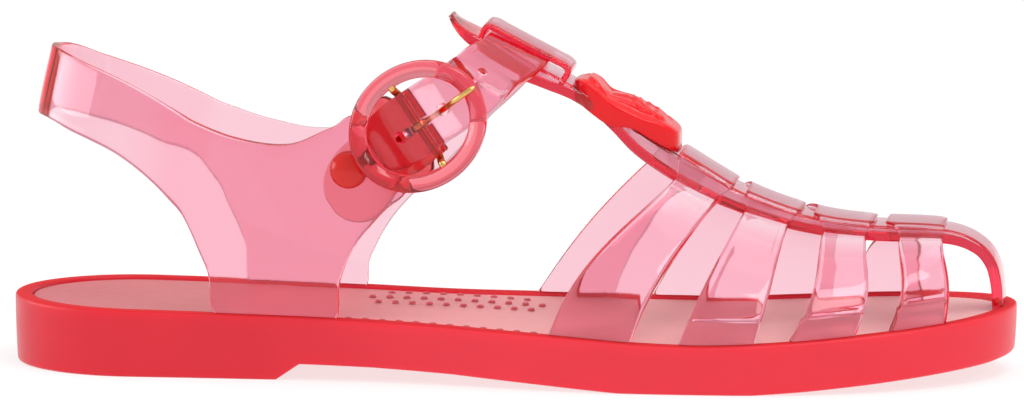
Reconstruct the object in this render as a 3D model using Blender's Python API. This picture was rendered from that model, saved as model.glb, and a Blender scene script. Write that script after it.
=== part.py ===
"""Moulded fisherman sandal for the right foot, buckled.

+X points to the toe, +Y to the medial side, +Z up.  Lengths in the tables are
millimetres from the back of the heel; MM and ORIGIN turn them into metres about
the middle of the sole.
"""
import math

import bpy
import bmesh
import numpy as np

# ------------------------------------------------------------ driving sizes
MM = 0.001
LENGTH = 255.0            # outsole, heel to toe
HEEL_REACH = 33.0         # length over which the heel rounds off
TOE_REACH = 70.0          # length over which the toe rounds off
TOE_POWER = 2.1           # fullness of the toe curve
GAP = 0.3                 # between pieces that touch

RIM_WIDTH = 4.2           # flat rim round the footbed
RIM_DRAFT = 0.5           # the sole side leans in this much at the floor
RECESS = 2.8              # footbed recess below the rim
FOOTBED_DROP = 0.7        # footbed top below the rim
UPPER_INSET = 2.0         # outer face of the upper inside the sole edge

WALL_VAMP = 2.2           # T-bar and cross bands
WALL_TIP = 1.2            # thin end of the T-bar above the keeper
WALL_QUARTER = 2.2        # quarters and sling
WALL_STRAP = 1.8          # ankle strap
WALL_TAB = 1.7            # folded buckle tab
WALL_KEEPER = 1.7         # keeper loop
PAD_RISE = 1.1            # cross bands stand this proud of the T-bar
KEEPER_X0, KEEPER_X1 = 119.2, 141.6  # legs of the keeper loop
KEEPER_RISE = (4.5, 4.15)  # outer face of the keeper above the T-bar, back and front

BUCKLE_C = (107.5, -29.8, 65.3)      # where the strap meets the centre bar
BUCKLE_OUT = (-0.05, -0.99, 0.08)    # outward normal of the buckle
STRAP_RISE_DEG = 35.0                # strap direction above the horizontal
RING_RS = 16.3            # middle radius of the oval buckle ring along the strap
RING_RT = 13.95           # and across it
RING_HALF = 2.1           # half its radial width
RING_THICK = 1.8          # half its thickness
RING_OUT = 5.4            # ring plane above the quarter
RING_S = -0.2             # ring centre along the strap from the bar
BAR_R = 1.0
BAR_OUT = 2.6             # middle of the bar above the quarter
PRONG_R = 0.75
STRAP_HALF = 8.4          # half width of the ankle strap
HOLE_R = 1.9              # prong holes
RIVET_S = -21.5           # rivet along the strap axis from the bar
RIVET_T = -0.9            # rivet across the strap axis
RIVET_R = 4.75

# half widths about the foot's middle line, before the ends are rounded
OUTLINE_COLS = ("x", "lateral", "medial", "middle")
OUTLINE = [
    (0.0, 31.0, 31.0, 0.0),
    (45.0, 31.0, 31.0, 0.0),
    (75.0, 31.6, 29.4, 0.0),
    (105.0, 34.2, 27.6, 0.0),
    (130.0, 39.2, 31.4, 0.0),
    (150.0, 42.8, 36.8, 0.3),
    (168.0, 44.6, 40.6, 0.8),
    (185.0, 45.0, 42.0, 1.4),
    (205.0, 44.6, 42.0, 2.2),
    (255.0, 43.0, 41.0, 4.5),
]

# height of the rim
RIM_COLS = ("x", "z")
RIM = [
    (0.0, 17.5), (40.0, 16.9), (60.0, 16.5), (90.0, 15.9), (125.0, 14.7),
    (145.0, 13.8), (162.0, 12.8), (178.0, 12.4), (200.0, 13.3), (222.0, 14.9),
    (240.0, 16.3), (255.0, 17.7),
]

# underside: flat heel block, slanted breast, arch, flat ball, toe spring
FLOOR_COLS = ("x", "z")
FLOOR = [
    (0.0, 0.0), (70.5, 0.0), (76.5, 4.1), (95.0, 3.8), (116.0, 2.9),
    (140.0, 1.3), (158.0, 0.0), (192.0, 0.0), (205.0, 0.8), (222.0, 2.2),
    (235.0, 3.4), (249.0, 4.7), (255.0, 5.6),
]

# side of the sole from the floor to the recess: inset, datum, rise
SOLE_COLS = ("inset", "datum", "rise")
SOLE_SECTION = [
    (RIM_DRAFT + 1.0, "floor", 0.0),
    (RIM_DRAFT, "floor", 0.9),
    (0.0, "rim", -1.2),
    (0.8, "rim", 0.0),
    (RIM_WIDTH, "rim", 0.0),
    (RIM_WIDTH + 0.2, "rim", -RECESS),
]
FOOTBED_SECTION = [
    (RIM_WIDTH + 0.2 + GAP, "rim", -RECESS + GAP),
    (RIM_WIDTH + 0.2 + GAP, "rim", -FOOTBED_DROP - 0.4),
    (RIM_WIDTH + 1.0 + GAP, "rim", -FOOTBED_DROP),
]

# T-bar along the ridge of the foot: top middle, half width, drop at its edges
RIDGE_COLS = ("x", "z", "half", "crown")
RIDGE = [
    (112.2, 90.2, 3.4, 0.3), (113.3, 88.7, 5.0, 0.4), (114.9, 87.4, 6.6, 0.5),
    (116.6, 86.4, 7.6, 0.6), (118.6, 85.4, 8.1, 0.9), (124.0, 82.8, 8.2, 2.5),
    (131.0, 79.3, 8.2, 3.5), (138.0, 75.8, 8.2, 2.6), (145.3, 71.7, 8.2, 1.2),
    (150.0, 68.9, 8.2, 1.3), (155.5, 65.0, 8.2, 2.4), (162.0, 60.5, 8.3, 4.4),
    (168.0, 57.0, 8.3, 5.2), (172.0, 54.7, 8.3, 5.4),
    (178.0, 51.0, 8.3, 5.0), (184.0, 47.4, 8.3, 4.1), (193.0, 43.5, 8.3, 3.2),
    (201.0, 40.9, 8.3, 2.8), (212.0, 38.8, 8.3, 2.3), (222.0, 38.0, 8.3, 2.1),
    (230.0, 37.8, 8.2, 2.0), (237.0, 37.3, 8.0, 1.8), (241.0, 36.4, 7.7, 1.5),
    (245.0, 34.6, 7.3, 1.2), (248.5, 31.6, 7.0, 0.9), (250.9, 27.0, 6.8, 0.8),
    (251.8, 21.5, 6.7, 0.7), (252.0, 17.8, 6.7, 0.6),
]
# drop across the T-bar, as a share of the crown
FLANK_COLS = ("across", "drop")
FLANK = [(0.0, 0.0), (0.62, 0.06), (0.81, 0.42), (1.0, 1.0)]

# cross bands: span on the ridge and fullness of each; then for the back and the
# front edge on either side: shift where it leaves the T-bar, foot on the rim, bow
BAND_COLS = ("ridge0", "ridge1", "fullness")
BANDS = [(170.3, 184.0, 1.75), (187.0, 201.0, 1.80), (204.0, 219.4, 1.90), (222.2, 237.0, 2.00)]
BAND_SIDE_COLS = ("shift0", "shift1", "foot0", "foot1", "bow0", "bow1")
BAND_LATERAL = [
    (2.2, -2.1, 140.3, 161.4, -4.8, -2.3), (1.6, -2.0, 173.6, 192.6, -0.8, 0.5),
    (3.4, -1.3, 201.4, 217.9, 2.4, 2.5), (3.9, 0.4, 226.3, 239.5, 2.7, 1.7),
]
BAND_MEDIAL = [
    (-5.3, -7.1, 130.3, 149.8, -2.3, -4.8), (-5.1, -5.6, 159.0, 174.5, -1.3, -3.5),
    (-6.1, -6.2, 187.3, 205.0, -1.4, -2.0), (0.0, -2.5, 213.4, 229.0, -3.7, -3.7),
]

# heel sling by the angle round the heel: lower and upper edge on each side
SLING_COLS = ("angle", "lat_low", "lat_top", "med_low", "med_top")
SLING = [
    (0.0, 63.0, 80.8, 63.0, 80.8),
    (20.0, 63.0, 80.3, 62.8, 79.8),
    (45.0, 60.4, 77.9, 59.3, 75.6),
    (70.0, 55.0, 73.2, 54.3, 70.2),
    (90.0, 44.8, 67.0, 48.3, 64.6),
]
SLING_REACH = 38.0
# back of the heel and half width of the sling by height (wall middle)
HEEL_COLS = ("z", "back", "half")
HEEL = [(45.0, 5.2, 26.0), (63.0, 7.1, 25.8), (81.0, 10.9, 24.2)]

# half width of the quarters at ankle height (wall middle)
ANKLE_COLS = ("x", "lateral", "medial")
ANKLE = [
    (45.0, 26.0, 26.0), (65.0, 26.8, 26.3), (88.0, 28.6, 27.2),
    (107.0, 29.8, 28.4), (120.0, 30.2, 28.8),
]

# quarters, one row for each line from the lower edge to the top edge;
# a lower height of 0 stands on the rim
QUARTER_COLS = ("low_x", "low_z", "top_x", "top_z")
QUARTER_LATERAL = [
    (99.1, 44.2, 86.0, 65.0), (95.0, 39.8, 82.9, 63.5), (91.9, 36.2, 80.2, 62.2),
    (88.7, 30.6, 77.6, 60.9), (86.6, 24.5, 75.2, 60.1), (85.7, 0.0, 72.8, 59.7),
    (79.5, 0.0, 70.2, 59.6), (73.0, 0.0, 67.4, 59.8), (66.5, 0.0, 64.4, 60.2),
    (60.5, 0.0, 61.4, 60.8), (55.2, 0.0, 58.6, 61.5), (53.0, 27.0, 55.8, 62.4),
    (50.8, 32.0, 53.4, 63.3), (48.6, 37.0, 51.0, 64.3), (46.2, 41.5, 48.8, 65.3),
]
QUARTER_MEDIAL = [
    (46.4, 44.6, 49.0, 62.8), (49.0, 41.0, 53.0, 61.4), (51.3, 35.5, 57.0, 60.0),
    (53.6, 30.5, 61.0, 58.8), (55.4, 26.0, 64.5, 58.0), (56.6, 0.0, 67.5, 57.3),
    (63.0, 0.0, 70.0, 56.8), (70.0, 0.0, 72.5, 56.5), (78.0, 0.0, 75.2, 56.4),
    (86.6, 0.0, 78.0, 56.5), (87.3, 22.0, 80.5, 57.0), (88.8, 25.5, 83.0, 57.9),
    (90.8, 29.5, 85.4, 59.0), (93.7, 34.0, 87.8, 60.3), (97.5, 38.4, 90.2, 61.8),
    (101.8, 42.5, 92.8, 63.5), (106.0, 46.6, 95.8, 65.6), (109.8, 50.4, 99.4, 68.0),
    (113.6, 54.4, 103.4, 70.6),
]

# ankle strap over the instep: middle of the strap and its outward direction
STRAP_COLS = ("x", "y", "z", "nx", "ny", "nz")
STRAP = [
    (112.8, 28.8, 66.0, 0.02, 0.97, 0.22), (118.6, 27.2, 71.2, 0.08, 0.90, 0.42),
    (123.4, 22.4, 76.0, 0.20, 0.70, 0.68), (127.2, 15.0, 79.7, 0.34, 0.38, 0.86),
    (129.2, 9.0, 81.1, 0.42, 0.06, 0.90), (129.5, 0.0, 81.6, 0.44, 0.00, 0.90),
    (129.3, -9.0, 81.1, 0.42, -0.06, 0.90), (127.7, -15.0, 80.4, 0.36, -0.30, 0.88),
    (125.2, -22.0, 79.0, 0.26, -0.62, 0.74), (123.3, -27.4, 77.2, 0.12, -0.86, 0.50),
]

# strap through the buckle: distance along it from the bar, rise, half width
LOOP_COLS = ("s", "out", "half")
STRAP_IN_BUCKLE = [
    (17.0, 1.9, 8.4), (14.0, 2.05, 8.4), (12.0, 2.1, 8.4), (10.0, 2.3, 8.4),
    (8.5, 2.9, 8.4), (7.0, 3.9, 8.4), (5.0, 5.2, 8.4), (3.0, 6.3, 8.4),
    (1.2, 6.75, 8.4), (-1.2, 6.75, 8.4), (-3.0, 6.3, 8.4), (-5.0, 5.2, 8.3),
    (-7.0, 3.9, 8.3), (-8.5, 2.9, 8.2), (-10.0, 2.3, 7.8), (-12.0, 2.15, 6.6),
    (-14.0, 2.15, 4.6), (-15.2, 2.15, 2.2),
]
# buckle tab behind the quarter: as above, and the offset of its middle
TAB_COLS = ("s", "out", "half", "mid")
TAB_BACK = [
    (-31.2, -2.35, 2.2, 3.9), (-30.2, -2.35, 4.7, 3.9), (-28.0, -2.35, 7.3, 3.8),
    (-25.0, -2.35, 8.9, 3.5), (-21.5, -2.35, 9.5, 2.9), (-17.0, -2.35, 9.2, 1.9),
    (-13.0, -2.3, 8.9, 0.8), (-10.0, -2.2, 9.0, 0.2), (-8.5, -1.95, 9.1, 0.0),
    (-7.0, -1.4, 9.2, 0.0), (-5.0, -0.5, 9.2, 0.0), (-2.6, 0.2, 9.0, 0.0),
]
TAB_FRONT = [
    (-2.6, 4.15, 9.0), (-5.0, 2.75, 9.4), (-7.0, 1.45, 9.7), (-8.5, 0.55, 10.1),
    (-10.0, 0.1, 10.7), (-12.0, 0.0, 11.5), (-14.0, 0.0, 12.2),
]
TAB_HALF = 9.0            # of the turn round the bar
# prong: distance along the strap axis from the bar, rise above the quarter
PRONG_COLS = ("s", "out")
PRONG = [
    (1.9, 2.7), (4.5, 2.75), (7.0, 3.4), (9.4, 5.1), (11.8, 7.2),
    (13.9, 8.15), (16.0, 8.4), (18.1, 7.9),
]
# badge on the T-bar: share of the plan size, level (0 base, 1 edge, 2 crown), rise
BADGE_COLS = ("share", "level", "rise")
BADGE = [
    (0.25, 0.0, 0.0), (0.62, 0.0, 0.0), (0.83, 0.0, 0.0), (0.97, 0.0, 0.0), (1.0, 0.0, 0.5),
    (1.0, 1.0, -0.6), (0.94, 1.0, 0.1), (0.72, 1.62, 0.0), (0.36, 1.95, 0.0),
]
# height of its edge and of its crown above the ridge: a knob, a dip and a plate
BADGE_TOP_COLS = ("x", "edge", "crown")
BADGE_TOP = [
    (143.6, 1.4, 2.2), (145.0, 2.2, 3.6), (147.2, 2.9, 4.9), (149.2, 2.7, 4.7),
    (151.8, 2.1, 3.3), (154.0, 2.2, 4.1), (156.5, 2.6, 5.4), (160.7, 3.6, 6.6),
    (165.8, 5.2, 6.8), (168.0, 5.4, 6.6), (170.0, 5.2, 6.0),
]
BADGE_X0, BADGE_X1, BADGE_HALF, BADGE_POWER = 143.6, 170.0, 7.9, 3.4

# finish of each piece: colour, metal, roughness, share of light let through
FINISH_COLS = ("red", "green", "blue", "metallic", "roughness", "transmission")
FINISH = {
    "sole": (0.75, 0.055, 0.075, 0.0, 0.28, 0.25),
    "insole": (0.70, 0.24, 0.25, 0.0, 0.45, 0.05),
    "upper_vamp": (0.86, 0.30, 0.38, 0.0, 0.12, 0.85),
    "upper_quarter": (0.86, 0.32, 0.41, 0.0, 0.12, 0.85),
    "badge": (0.72, 0.010, 0.016, 0.0, 0.15, 0.35),
    "buckle_ring": (0.84, 0.16, 0.18, 0.0, 0.10, 0.75),
    "buckle_bar": (0.72, 0.47, 0.16, 1.0, 0.22, 0.0),
    "buckle_prong": (0.72, 0.47, 0.16, 1.0, 0.22, 0.0),
    "rivet": (0.58, 0.030, 0.025, 0.0, 0.15, 0.35),
}


# ------------------------------------------------------------ small tools
def column(cols, rows, name):
    return [row[cols.index(name)] for row in rows]


def smooth(xs, ys):
    """Curve through the points that never overshoots them."""
    xs, ys = np.asarray(xs, float), np.asarray(ys, float)
    h = np.diff(xs)
    d = np.diff(ys) / h
    m = np.zeros(len(xs))
    m[0], m[-1] = d[0], d[-1]
    for i in range(1, len(xs) - 1):
        if d[i - 1] * d[i] > 0:
            w1, w2 = 2 * h[i] + h[i - 1], h[i] + 2 * h[i - 1]
            m[i] = (w1 + w2) / (w1 / d[i - 1] + w2 / d[i])

    def at(x):
        x = min(max(x, xs[0]), xs[-1])
        i = min(max(int(np.searchsorted(xs, x, side="right")) - 1, 0), len(h) - 1)
        t = (x - xs[i]) / h[i]
        a, b = t * t * (3 - 2 * t), t * (1 - t)
        return float(ys[i] * (1 - a) + ys[i + 1] * a
                     + h[i] * b * ((1 - t) * m[i] - t * m[i + 1]))
    return at


def table(cols, rows, key, name):
    return smooth(column(cols, rows, key), column(cols, rows, name))


def straight(cols, rows, key, name):
    xs, ys = column(cols, rows, key), column(cols, rows, name)
    return lambda x: float(np.interp(x, xs, ys))


def ease(a, b, x):
    t = min(max((x - a) / (b - a), 0.0), 1.0)
    return t * t * (3 - 2 * t)


def unit(v):
    v = np.asarray(v, float)
    return v / np.linalg.norm(v)


lateral_half = table(OUTLINE_COLS, OUTLINE, "x", "lateral")
medial_half = table(OUTLINE_COLS, OUTLINE, "x", "medial")
middle_line = table(OUTLINE_COLS, OUTLINE, "x", "middle")
rim_z = table(RIM_COLS, RIM, "x", "z")
floor_z = straight(FLOOR_COLS, FLOOR, "x", "z")
flank_drop = straight(FLANK_COLS, FLANK, "across", "drop")
badge_edge = table(BADGE_TOP_COLS, BADGE_TOP, "x", "edge")
badge_crown = table(BADGE_TOP_COLS, BADGE_TOP, "x", "crown")
heel_back = table(HEEL_COLS, HEEL, "z", "back")
heel_half = table(HEEL_COLS, HEEL, "z", "half")
ankle_lateral = table(ANKLE_COLS, ANKLE, "x", "lateral")
ankle_medial = table(ANKLE_COLS, ANKLE, "x", "medial")


# ------------------------------------------------------------ meshes
def add_object(name, verts, faces):
    """Closed mesh in metres about the origin, triangulated, faces outward."""
    mesh = bpy.data.meshes.new(name)
    mesh.from_pydata([tuple((np.asarray(v) - ORIGIN) * MM) for v in verts], [], faces)
    bm = bmesh.new()
    bm.from_mesh(mesh)
    bmesh.ops.remove_doubles(bm, verts=bm.verts, dist=1e-7)
    bmesh.ops.triangulate(bm, faces=bm.faces)
    bmesh.ops.recalc_face_normals(bm, faces=bm.faces)
    bm.to_mesh(mesh)
    bm.free()
    mesh.shade_smooth()
    mesh.set_sharp_from_angle(angle=math.radians(40))
    obj = bpy.data.objects.new(name, mesh)
    bpy.context.scene.collection.objects.link(obj)
    return obj


def finish(obj):
    red, green, blue, metallic, roughness, transmission = FINISH[obj.name]
    mat = bpy.data.materials.new(obj.name)
    mat.use_nodes = True
    shader = mat.node_tree.nodes["Principled BSDF"]
    shader.inputs["Base Color"].default_value = (red, green, blue, 1.0)
    shader.inputs["Metallic"].default_value = metallic
    shader.inputs["Roughness"].default_value = roughness
    shader.inputs["Transmission Weight"].default_value = transmission
    mat.diffuse_color = (red, green, blue, 1.0)
    obj.data.materials.clear()
    obj.data.materials.append(mat)


def combine(obj, tool, operation):
    """Join to or cut from obj; the tool stays as a hidden guide."""
    tool.hide_render = True
    tool.display_type = "WIRE"
    mod = obj.modifiers.new(tool.name, "BOOLEAN")
    mod.operation = operation
    mod.solver = "EXACT"
    mod.object = tool


def sheet_faces(rows, cols):
    """Faces of a closed sheet: outer grid first, then the inner grid."""
    def outer(i, j):
        return i * rows + j

    def inner(i, j):
        return cols * rows + i * rows + j

    faces = []
    for i in range(cols - 1):
        for j in range(rows - 1):
            faces.append((outer(i, j), outer(i + 1, j), outer(i + 1, j + 1), outer(i, j + 1)))
            faces.append((inner(i, j + 1), inner(i + 1, j + 1), inner(i + 1, j), inner(i, j)))
        faces.append((inner(i, 0), inner(i + 1, 0), outer(i + 1, 0), outer(i, 0)))
        e = rows - 1
        faces.append((outer(i, e), outer(i + 1, e), inner(i + 1, e), inner(i, e)))
    for j in range(rows - 1):
        e = cols - 1
        faces.append((inner(0, j + 1), inner(0, j), outer(0, j), outer(0, j + 1)))
        faces.append((inner(e, j), inner(e, j + 1), outer(e, j + 1), outer(e, j)))
    return faces


def grid_normals(grid):
    n = np.cross(np.gradient(grid, axis=0), np.gradient(grid, axis=1))
    return n / np.linalg.norm(n, axis=2, keepdims=True)


def sheet(name, grid, out, into, level_ends=False):
    """Sheet whose faces lie out above and into below a grid of points."""
    n = grid_normals(grid)
    out = np.broadcast_to(np.asarray(out, float).reshape(-1, 1, 1), n.shape[:1] + (1, 1))
    into = np.broadcast_to(np.asarray(into, float).reshape(-1, 1, 1), n.shape[:1] + (1, 1))
    upper, lower = grid + n * out, grid - n * into
    if level_ends:
        for k in (0, -1):
            upper[k, :, 2] = lower[k, :, 2] = grid[k, :, 2]
    cols, rows = grid.shape[:2]
    verts = np.concatenate([upper.reshape(-1, 3), lower.reshape(-1, 3)])
    return add_object(name, verts, sheet_faces(rows, cols))


def tube(name, path, radius, sides, across):
    """Round bar along a path; across is a direction off the path's plane."""
    path = np.asarray(path, float)
    tangent = np.gradient(path, axis=0)
    verts, faces = [], []
    for p, t in zip(path, tangent):
        t = unit(t)
        a = unit(np.cross(t, across))
        b = np.cross(t, a)
        for k in range(sides):
            w = 2 * math.pi * k / sides
            verts.append(p + radius * (a * math.cos(w) + b * math.sin(w)))
    for i in range(len(path) - 1):
        for k in range(sides):
            m = (k + 1) % sides
            faces.append((i * sides + k, i * sides + m, (i + 1) * sides + m, (i + 1) * sides + k))
    last = (len(path) - 1) * sides
    faces.append(tuple(range(sides))[::-1])
    faces.append(tuple(last + k for k in range(sides)))
    return add_object(name, verts, faces)


def lathe(name, centre, axis, profile, sides):
    """Turned piece: profile rows of radius and height, both ends on the axis."""
    axis = unit(axis)
    a = unit(np.cross(axis, (0.3, 0.2, 0.9)))
    b = np.cross(axis, a)
    verts, faces = [], []
    for radius, height in profile:
        for k in range(sides):
            w = 2 * math.pi * k / sides
            verts.append(np.asarray(centre) + axis * height
                         + radius * (a * math.cos(w) + b * math.sin(w)))
    for i in range(len(profile) - 1):
        for k in range(sides):
            m = (k + 1) % sides
            faces.append((i * sides + k, i * sides + m, (i + 1) * sides + m, (i + 1) * sides + k))
    last = (len(profile) - 1) * sides
    faces.append(tuple(range(sides))[::-1])
    faces.append(tuple(last + k for k in range(sides)))
    return add_object(name, verts, faces)


# ------------------------------------------------------------ sole outline
HEEL_STEPS = 11
TOE_STEPS = 13
MID_STATIONS = (41.0, 49.0, 57.0, 64.0, 70.5, 76.5, 85.0, 95.0, 105.0, 116.0,
                128.0, 140.0, 149.0, 158.0, 167.0, 176.0)


def stations():
    """Distance from the heel and share of the half width, heel to toe."""
    out = []
    for i in range(HEEL_STEPS + 1):
        w = 0.5 * math.pi * i / HEEL_STEPS
        out.append((HEEL_REACH * (1 - math.cos(w)), math.sin(w)))
    out += [(x, 1.0) for x in MID_STATIONS]
    for i in range(TOE_STEPS + 1):
        w = 0.5 * math.pi * i / TOE_STEPS
        out.append((LENGTH - TOE_REACH + TOE_REACH * math.sin(w) ** (2 / TOE_POWER),
                    max(math.cos(w), 0.0) ** (2 / TOE_POWER)))
    return out


def outline():
    """Closed plan outline: heel tip, lateral side, toe tip, medial side."""
    st = stations()
    lat = [(x, middle_line(x) - f * lateral_half(x)) for x, f in st]
    med = [(x, middle_line(x) + f * medial_half(x)) for x, f in st]
    return np.array(lat + med[-2:0:-1])


def inset(loop, depth):
    t = np.roll(loop, -1, axis=0) - np.roll(loop, 1, axis=0)
    t /= np.linalg.norm(t, axis=1, keepdims=True)
    return loop - depth * np.column_stack([t[:, 1], -t[:, 0]])


def edge_y(depth):
    """Side edge at a given inset, as functions of the distance from the heel."""
    loop = inset(outline(), depth)
    half = len(loop) // 2
    lat, med = loop[:half + 1], np.vstack([loop[half:], loop[:1]])[::-1]
    return (lambda x: float(np.interp(x, lat[:, 0], lat[:, 1])),
            lambda x: float(np.interp(x, med[:, 0], med[:, 1])))


LOOP = outline()
ORIGIN = np.array([0.5 * (LOOP[:, 0].min() + LOOP[:, 0].max()),
                   0.5 * (LOOP[:, 1].min() + LOOP[:, 1].max()), 0.0])


def moulded_plate(name, section):
    """Plate with the foot's outline, one ring for each row of the section."""
    n = len(LOOP)
    half = n // 2
    verts, faces = [], []
    for depth, datum, rise in section:
        ring = inset(LOOP, depth)
        for x, y in ring:
            z = floor_z(x) if datum == "floor" else rim_z(x)
            verts.append((x, y, z + rise))
    for k in range(len(section) - 1):
        for i in range(n):
            m = (i + 1) % n
            faces.append((k * n + i, k * n + m, (k + 1) * n + m, (k + 1) * n + i))
    for base, flip in ((0, True), ((len(section) - 1) * n, False)):
        for i in range(half):
            quad = [i, i + 1, (n - i - 1) % n, (n - i) % n]
            quad = list(dict.fromkeys(quad))
            face = tuple(base + q for q in quad)
            faces.append(face[::-1] if flip else face)
    return add_object(name, verts, faces)


# ------------------------------------------------------------ T-bar and bands
RIDGE_S = np.concatenate([[0.0], np.cumsum(np.hypot(
    np.diff(column(RIDGE_COLS, RIDGE, "x")), np.diff(column(RIDGE_COLS, RIDGE, "z"))))])
ridge_x, ridge_top, ridge_half, ridge_crown = (
    smooth(RIDGE_S, column(RIDGE_COLS, RIDGE, name)) for name in RIDGE_COLS)


def ridge_at(x):
    """Distance along the ridge at which it stands over x."""
    lo, hi = 0.0, float(RIDGE_S[-1])
    for _ in range(40):
        mid = 0.5 * (lo + hi)
        if ridge_x(mid) < x:
            lo = mid
        else:
            hi = mid
    return lo


def ridge_normal(p):
    a, b = max(p - 0.5, 0.0), min(p + 0.5, float(RIDGE_S[-1]))
    dx, dz = ridge_x(b) - ridge_x(a), ridge_top(b) - ridge_top(a)
    return unit((-dz, 0.0, dx))


def tbar_point(p, across, rise=0.0):
    """Point on the T-bar's outer face; across runs from -1 to 1."""
    x = ridge_x(p)
    n = ridge_normal(p)
    y = middle_line(x) + across * ridge_half(p)
    drop = ridge_crown(p) * flank_drop(abs(across))
    return np.array([x, y, ridge_top(p)]) + n * (rise - drop)


ACROSS = (-1.0, -0.81, -0.62, 0.0, 0.62, 0.81, 1.0)
LEAN = {0.0: 0.0, 0.62: 0.15, 0.81: 0.6, 1.0: 0.9}    # how far a pad's rise leans outward


def pad_point(p, across):
    lean = math.copysign(LEAN[abs(across)], across) if across else 0.0
    n = ridge_normal(p)
    out = unit(n * math.sqrt(1 - lean * lean) + np.array([0.0, lean, 0.0]))
    return tbar_point(p, across) + out * PAD_RISE


def tbar():
    steps = np.linspace(0.0, float(RIDGE_S[-1]), 44)
    grid = np.array([[tbar_point(p, b) for b in ACROSS] for p in steps])
    wall = [WALL_TIP + (WALL_VAMP - WALL_TIP) * ease(0.0, 8.0, p) for p in steps]
    return sheet("upper_vamp", grid, 0.0, wall)


def band(index):
    """One cross band: lateral foot, over the T-bar, medial foot."""
    ridge0, ridge1, power = BANDS[index]
    lat_edge, med_edge = edge_y(UPPER_INSET)
    p0, p1 = ridge_at(ridge0), ridge_at(ridge1)
    angles = [math.radians(a) for a in (90, 80, 69, 58, 47, 36, 25, 13)]
    columns = []

    def pad(w, across):
        shift0, shift1 = (BAND_LATERAL if across < 0 else BAND_MEDIAL)[index][:2]
        shift = (shift1 + (shift0 - shift1) * w) * flank_drop(abs(across))
        return pad_point(p1 + (p0 - p1) * w + shift, across)

    def side(w, angle, across):
        row, edge = (BAND_LATERAL, lat_edge) if across < 0 else (BAND_MEDIAL, med_edge)
        _, _, foot0, foot1, bow0, bow1 = row[index]
        top = pad(w, across)
        x, bow = foot1 + (foot0 - foot1) * w, bow1 + (bow0 - bow1) * w
        foot = np.array([x, edge(x), rim_z(x) + GAP])
        y_share = math.sin(angle) ** (2 / power)
        z_share = max(math.cos(angle), 0.0) ** (2 / power)
        return np.array([foot[0] + (top[0] - foot[0]) * z_share
                         + bow * math.sin(math.pi * z_share),
                         top[1] + (foot[1] - top[1]) * y_share,
                         foot[2] + (top[2] - foot[2]) * z_share])

    widths = (0.0, 0.33, 0.67, 1.0)
    for a in angles:
        columns.append([side(w, a, -1.0) for w in widths])
    for b in ACROSS:
        columns.append([pad(w, b) for w in widths])
    for a in angles[::-1]:
        columns.append([side(w, a, 1.0) for w in widths])
    return sheet("band_%d" % (index + 1), np.array(columns), 0.0, WALL_VAMP, level_ends=True)


def keeper():
    """Loop over the T-bar that the ankle strap runs through."""
    p0, p1 = ridge_at(KEEPER_X0), ridge_at(KEEPER_X1)
    back, front = KEEPER_RISE
    path = [(p0, -1.0), (p0, 1.4), (p0 + 0.3, back - 1.0), (p0 + 1.6, back)]
    path += [(p0 + (p1 - p0) * k, back + (front - back) * k) for k in (0.3, 0.5, 0.7)]
    path += [(p1 - 1.6, front), (p1 - 0.3, front - 1.0), (p1, 1.4), (p1, -1.0)]
    across = (-0.97, -0.5, 0.0, 0.5, 0.97)

    def point(p, b, rise):
        drop = 0.0 if rise < 0.0 else (ridge_crown(p) - 0.5) * flank_drop(abs(b))
        return tbar_point(p, b, rise + drop)

    grid = np.array([[point(p, b, rise) for b in across] for p, rise in path])
    return sheet("keeper", grid, 0.0, WALL_KEEPER)


# ------------------------------------------------------------ quarters and strap
OUT = unit(BUCKLE_OUT)
ALONG = np.array([math.cos(math.radians(STRAP_RISE_DEG)), 0.0, math.sin(math.radians(STRAP_RISE_DEG))])
ALONG = unit(ALONG - OUT * np.dot(ALONG, OUT))
SIDE = np.cross(ALONG, OUT)


def buckle(s, t, out):
    """Point by distance along the strap, across it and out from the quarter."""
    return np.asarray(BUCKLE_C) + ALONG * s + SIDE * t + OUT * out


def quarter_y(x, z, side):
    """Middle of the quarter's wall: rim to ankle height."""
    mid = UPPER_INSET + 0.5 * WALL_QUARTER
    if side < 0:
        low, top = lateral_half(x) - mid, ankle_lateral(x)
    else:
        low, top = medial_half(x) - mid, ankle_medial(x)
    share = ease(rim_z(x), 56.0, z)
    return side * (low + (top - low) * share)


def quarter_point(s, t, out):
    """As buckle(), but lying on the curved quarter below the ring."""
    flat = buckle(s, t, 0.0)
    share = ease(-6.0, -15.0, s)
    y = flat[1] + (quarter_y(flat[0], flat[2], -1) - flat[1]) * share
    return np.array([flat[0], y, flat[2]]) + OUT * out


ROWS = np.linspace(0.0, 1.0, 5)


def quarter_column(low_x, low_z, top_x, top_z, side):
    if low_z == 0.0:
        low_z = rim_z(low_x) + GAP
    out = []
    for r in ROWS:
        x, z = top_x + (low_x - top_x) * r, top_z + (low_z - top_z) * r
        out.append((x, quarter_y(x, z, side), z))
    return out


def sling_column(angle, side):
    which = "lat" if side < 0 else "med"
    low = table(SLING_COLS, SLING, "angle", which + "_low")(angle)
    top = table(SLING_COLS, SLING, "angle", which + "_top")(angle)
    w = math.radians(angle)
    out = []
    for r in ROWS:
        z = top + (low - top) * r
        out.append((heel_back(z) + SLING_REACH * (1 - math.cos(w)),
                    side * heel_half(z) * math.sin(w), z))
    return out


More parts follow.
